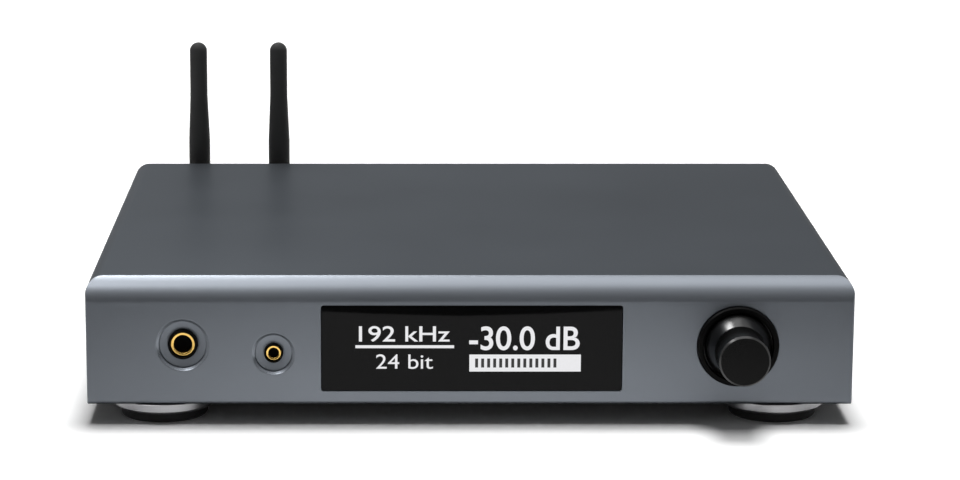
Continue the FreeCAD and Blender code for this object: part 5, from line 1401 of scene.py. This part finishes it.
def rocker_mesh():
    """The rocker, with its edges rounded and an on and an off mark laid on its slopes."""
    mesh = eased_copy("power_rocker", 0.5 * MM, 3)
    source = bmesh.new()
    source.from_mesh(mesh)
    tree = BVHTree.FromBMesh(source)
    source.free()
    spot = middle("power_rocker")
    marks = bmesh.new()

    def laid(points):
        hits = [tree.ray_cast(Vector((x, 1.0, z)), Vector((0, -1, 0)))[0] for x, z in points]
        return [marks.verts.new((hit.x, hit.y + 0.03 * MM, hit.z)) for hit in hits]

    off = (spot.x, spot.z - 4.9 * MM)
    bridged(marks, laid(circle(off, 1.25 * MM, 32)), laid(circle(off, 1.65 * MM, 32)))
    x, z = mm(0.2), mm(3.2, 6.4)
    marks.faces.new(laid([(spot.x - x[0], spot.z + z[0]), (spot.x + x[0], spot.z + z[0]),
                          (spot.x + x[0], spot.z + z[1]), (spot.x - x[0], spot.z + z[1])]))
    for face in marks.faces:
        face.normal_update()
        if face.normal.y < 0:
            face.normal_flip()
    return joined((mesh, 0), (plain_mesh(marks), 1), finished=plain_mesh)


stand_in("switch_rocker", rocker_mesh(), "power_rocker", "black_plastic", "white_plastic")


# Aerial fittings

refined("aerial_bushes", "aerial_sockets", 0.2)
refined("aerial_nuts", "aerial_couplings", 0.3)
for side in ("left", "right"):
    refined(f"{side}_aerial_elbow", f"aerial_elbow_{side}", 0.35, "aerial_black")


# Studio

# The floor's reach, and how bright camera rays and reflections see it beside its own shading
FLOOR_REACH, FLOOR_SEEN, FLOOR_MIRRORED = 6.0, 0.42, 0.75
# Where that brightness starts round the object's footprint, and how wide it is mirrored, each with its softness
FOOTPRINT_IN, CLEAR_EDGE, CLEAR_SOFT, POOL_EDGE, POOL_SOFT = mm(6, 12, 14, 115, 130)
# The card in front, from the panel
CARD_AWAY, CARD_BOW, CARD_HALF, CARD_TOP, CARD_FOOT = mm(164, 12, 600, 360, 0.5)
CARD_STEPS, CARD_CURVE = 32, 3.0
SKY_LIGHT = 0.1
# The camera, from the middle of the panel, with its lens in millimetres
CAMERA_BACK, CAMERA_LEFT, CAMERA_UP = mm(1060.4, 27.9, 300.2)
CAMERA_PITCH, CAMERA_LENS, CAMERA_SHIFT = 12.29, 112.5, 0.0904


def floor():
    """A pale floor that shows white, mirrors white in front of the object and keeps its shadow."""
    mesh = bpy.data.meshes.new("floor")
    far = FLOOR_REACH
    mesh.from_pydata([(-far, -far, 0), (far, -far, 0), (far, far, 0), (-far, far, 0)], [], [(0, 1, 2, 3)])
    pale = Finish("pale_floor", Roughness=0.9, Specular_IOR_Level=0.0, Emission_Strength=1.0)
    pale.set("Base Color", pale.mix(grey(0.93), grey(0.95), pale.noise(3, 2.0, 0.5)))
    aside = (pale.along("X").maths("ABSOLUTE") - (HALF - FOOTPRINT_IN)).maths("MAXIMUM", 0.0)
    ahead = (pale.along("Y").maths("ABSOLUTE") - BACK).maths("MAXIMUM", 0.0)
    clear = (aside * aside + ahead * ahead).maths("SQRT").over(CLEAR_EDGE, CLEAR_SOFT)
    pool = 1.0 - pale.along("X").maths("ABSOLUTE").over(POOL_EDGE, POOL_SOFT)
    bright = pale.ray("Camera") * FLOOR_SEEN + pale.ray("Glossy") * pool * FLOOR_MIRRORED
    bright = (bright + pale.ray("Transmission") * FLOOR_SEEN) * clear
    pale.set("Emission Color", pale.mix(grey(0.0), grey(1.0), bright.clamped()))
    pale.set("Alpha", 1.0 - Field(pale, pale.add("ShaderNodeNewGeometry").outputs["Backfacing"]))
    mesh.materials.append(pale.material)
    made = linked("floor", mesh)
    made.visible_shadow = False
    return made


def front_card():
    """A bowed card in front that only reflections see: dark below and pale above."""
    points, faces = [], []
    for number in range(CARD_STEPS + 1):
        x = CARD_HALF * (2 * number / CARD_STEPS - 1)
        y = FRONT - CARD_AWAY - min(CARD_CURVE * x * x, CARD_BOW)
        points += [(x, y, CARD_FOOT), (x, y, CARD_TOP)]
        if number:
            faces.append((2 * number - 2, 2 * number, 2 * number + 1, 2 * number - 1))
    mesh = bpy.data.meshes.new("front_card")
    mesh.from_pydata(points, [], faces)
    felt = Finish("black_felt", Roughness=1.0, Specular_IOR_Level=0.0, Emission_Strength=1.0)
    felt.set("Base Color", felt.mix(grey(0.001), grey(0.003), felt.noise(400, 2.0, 0.5)))
    felt.set("Emission Color", felt.mix(grey(0.03), grey(0.8), felt.along("Z").over(0.13, 0.24)))
    mesh.materials.append(felt.material)
    made = linked("front_card", mesh)
    made.visible_camera = made.visible_diffuse = made.visible_shadow = False
    return made


def surround():
    """A world that is white to the camera and in reflections, and a weak light otherwise."""
    world = bpy.data.worlds.new("surround")
    bpy.context.scene.world = world
    world.use_nodes = True
    sky = Nodes(world.node_tree)
    background = world.node_tree.nodes["Background"]
    background.inputs["Color"].default_value = (1, 1, 1, 1)
    seen = (sky.ray("Camera") + sky.ray("Glossy") + sky.ray("Transmission")).clamped()
    sky.join(background.inputs["Strength"], seen * (1.0 - SKY_LIGHT) + SKY_LIGHT)


def softbox(name, place, size, power, aim):
    """A box that is seen only in reflections."""
    light = bpy.data.lights.new(name, "AREA")
    light.shape = "RECTANGLE"
    light.size, light.size_y = size
    light.energy = power
    lamp = linked(name, light)
    lamp.location = place
    lamp.rotation_euler = (Vector(aim) - Vector(place)).to_track_quat("-Z", "Y").to_euler()
    lamp.visible_diffuse = False


def far_lamp(name, towards, strength, angle):
    """A broad lamp far away, in the direction named."""
    sun = bpy.data.lights.new(name, "SUN")
    sun.energy = strength
    sun.angle = math.radians(angle)
    lamp = linked(name, sun)
    lamp.rotation_euler = Vector(towards).to_track_quat("Z", "Y").to_euler()
    return lamp


def studio():
    """A pale floor, soft lamps, a white surround and the camera at the photograph's view."""
    scene = bpy.context.scene
    scene.view_settings.view_transform = "Standard"
    front_card()
    floor()
    surround()
    softbox("left_box", (-0.26, 0.30, 0.75), (0.40, 0.16), 3.6, (0.098, -0.12, 0.03))
    softbox("front_box", (-0.40, -0.34, 0.74), (0.5, 0.2), 2.0, (-0.05, -0.12, 0.03))
    far_lamp("overhead_key", (0.04, 0.11, 0.98), 2.55, 25).visible_glossy = False
    far_lamp("overhead_sheen", (-0.14, 0.02, 0.99), 1.7, 66).visible_diffuse = False
    far_lamp("from_below", (0, 0, -1), 0.8, 60).visible_glossy = False
    camera = bpy.data.cameras.new("camera")
    camera.sensor_width = 36.0
    camera.lens = CAMERA_LENS
    camera.shift_x = CAMERA_SHIFT
    stand = linked("camera", camera)
    stand.location = (-CAMERA_LEFT, FRONT - CAMERA_BACK, CAMERA_UP)
    stand.rotation_euler = (math.radians(90 - CAMERA_PITCH), 0, 0)
    scene.camera = stand


studio()
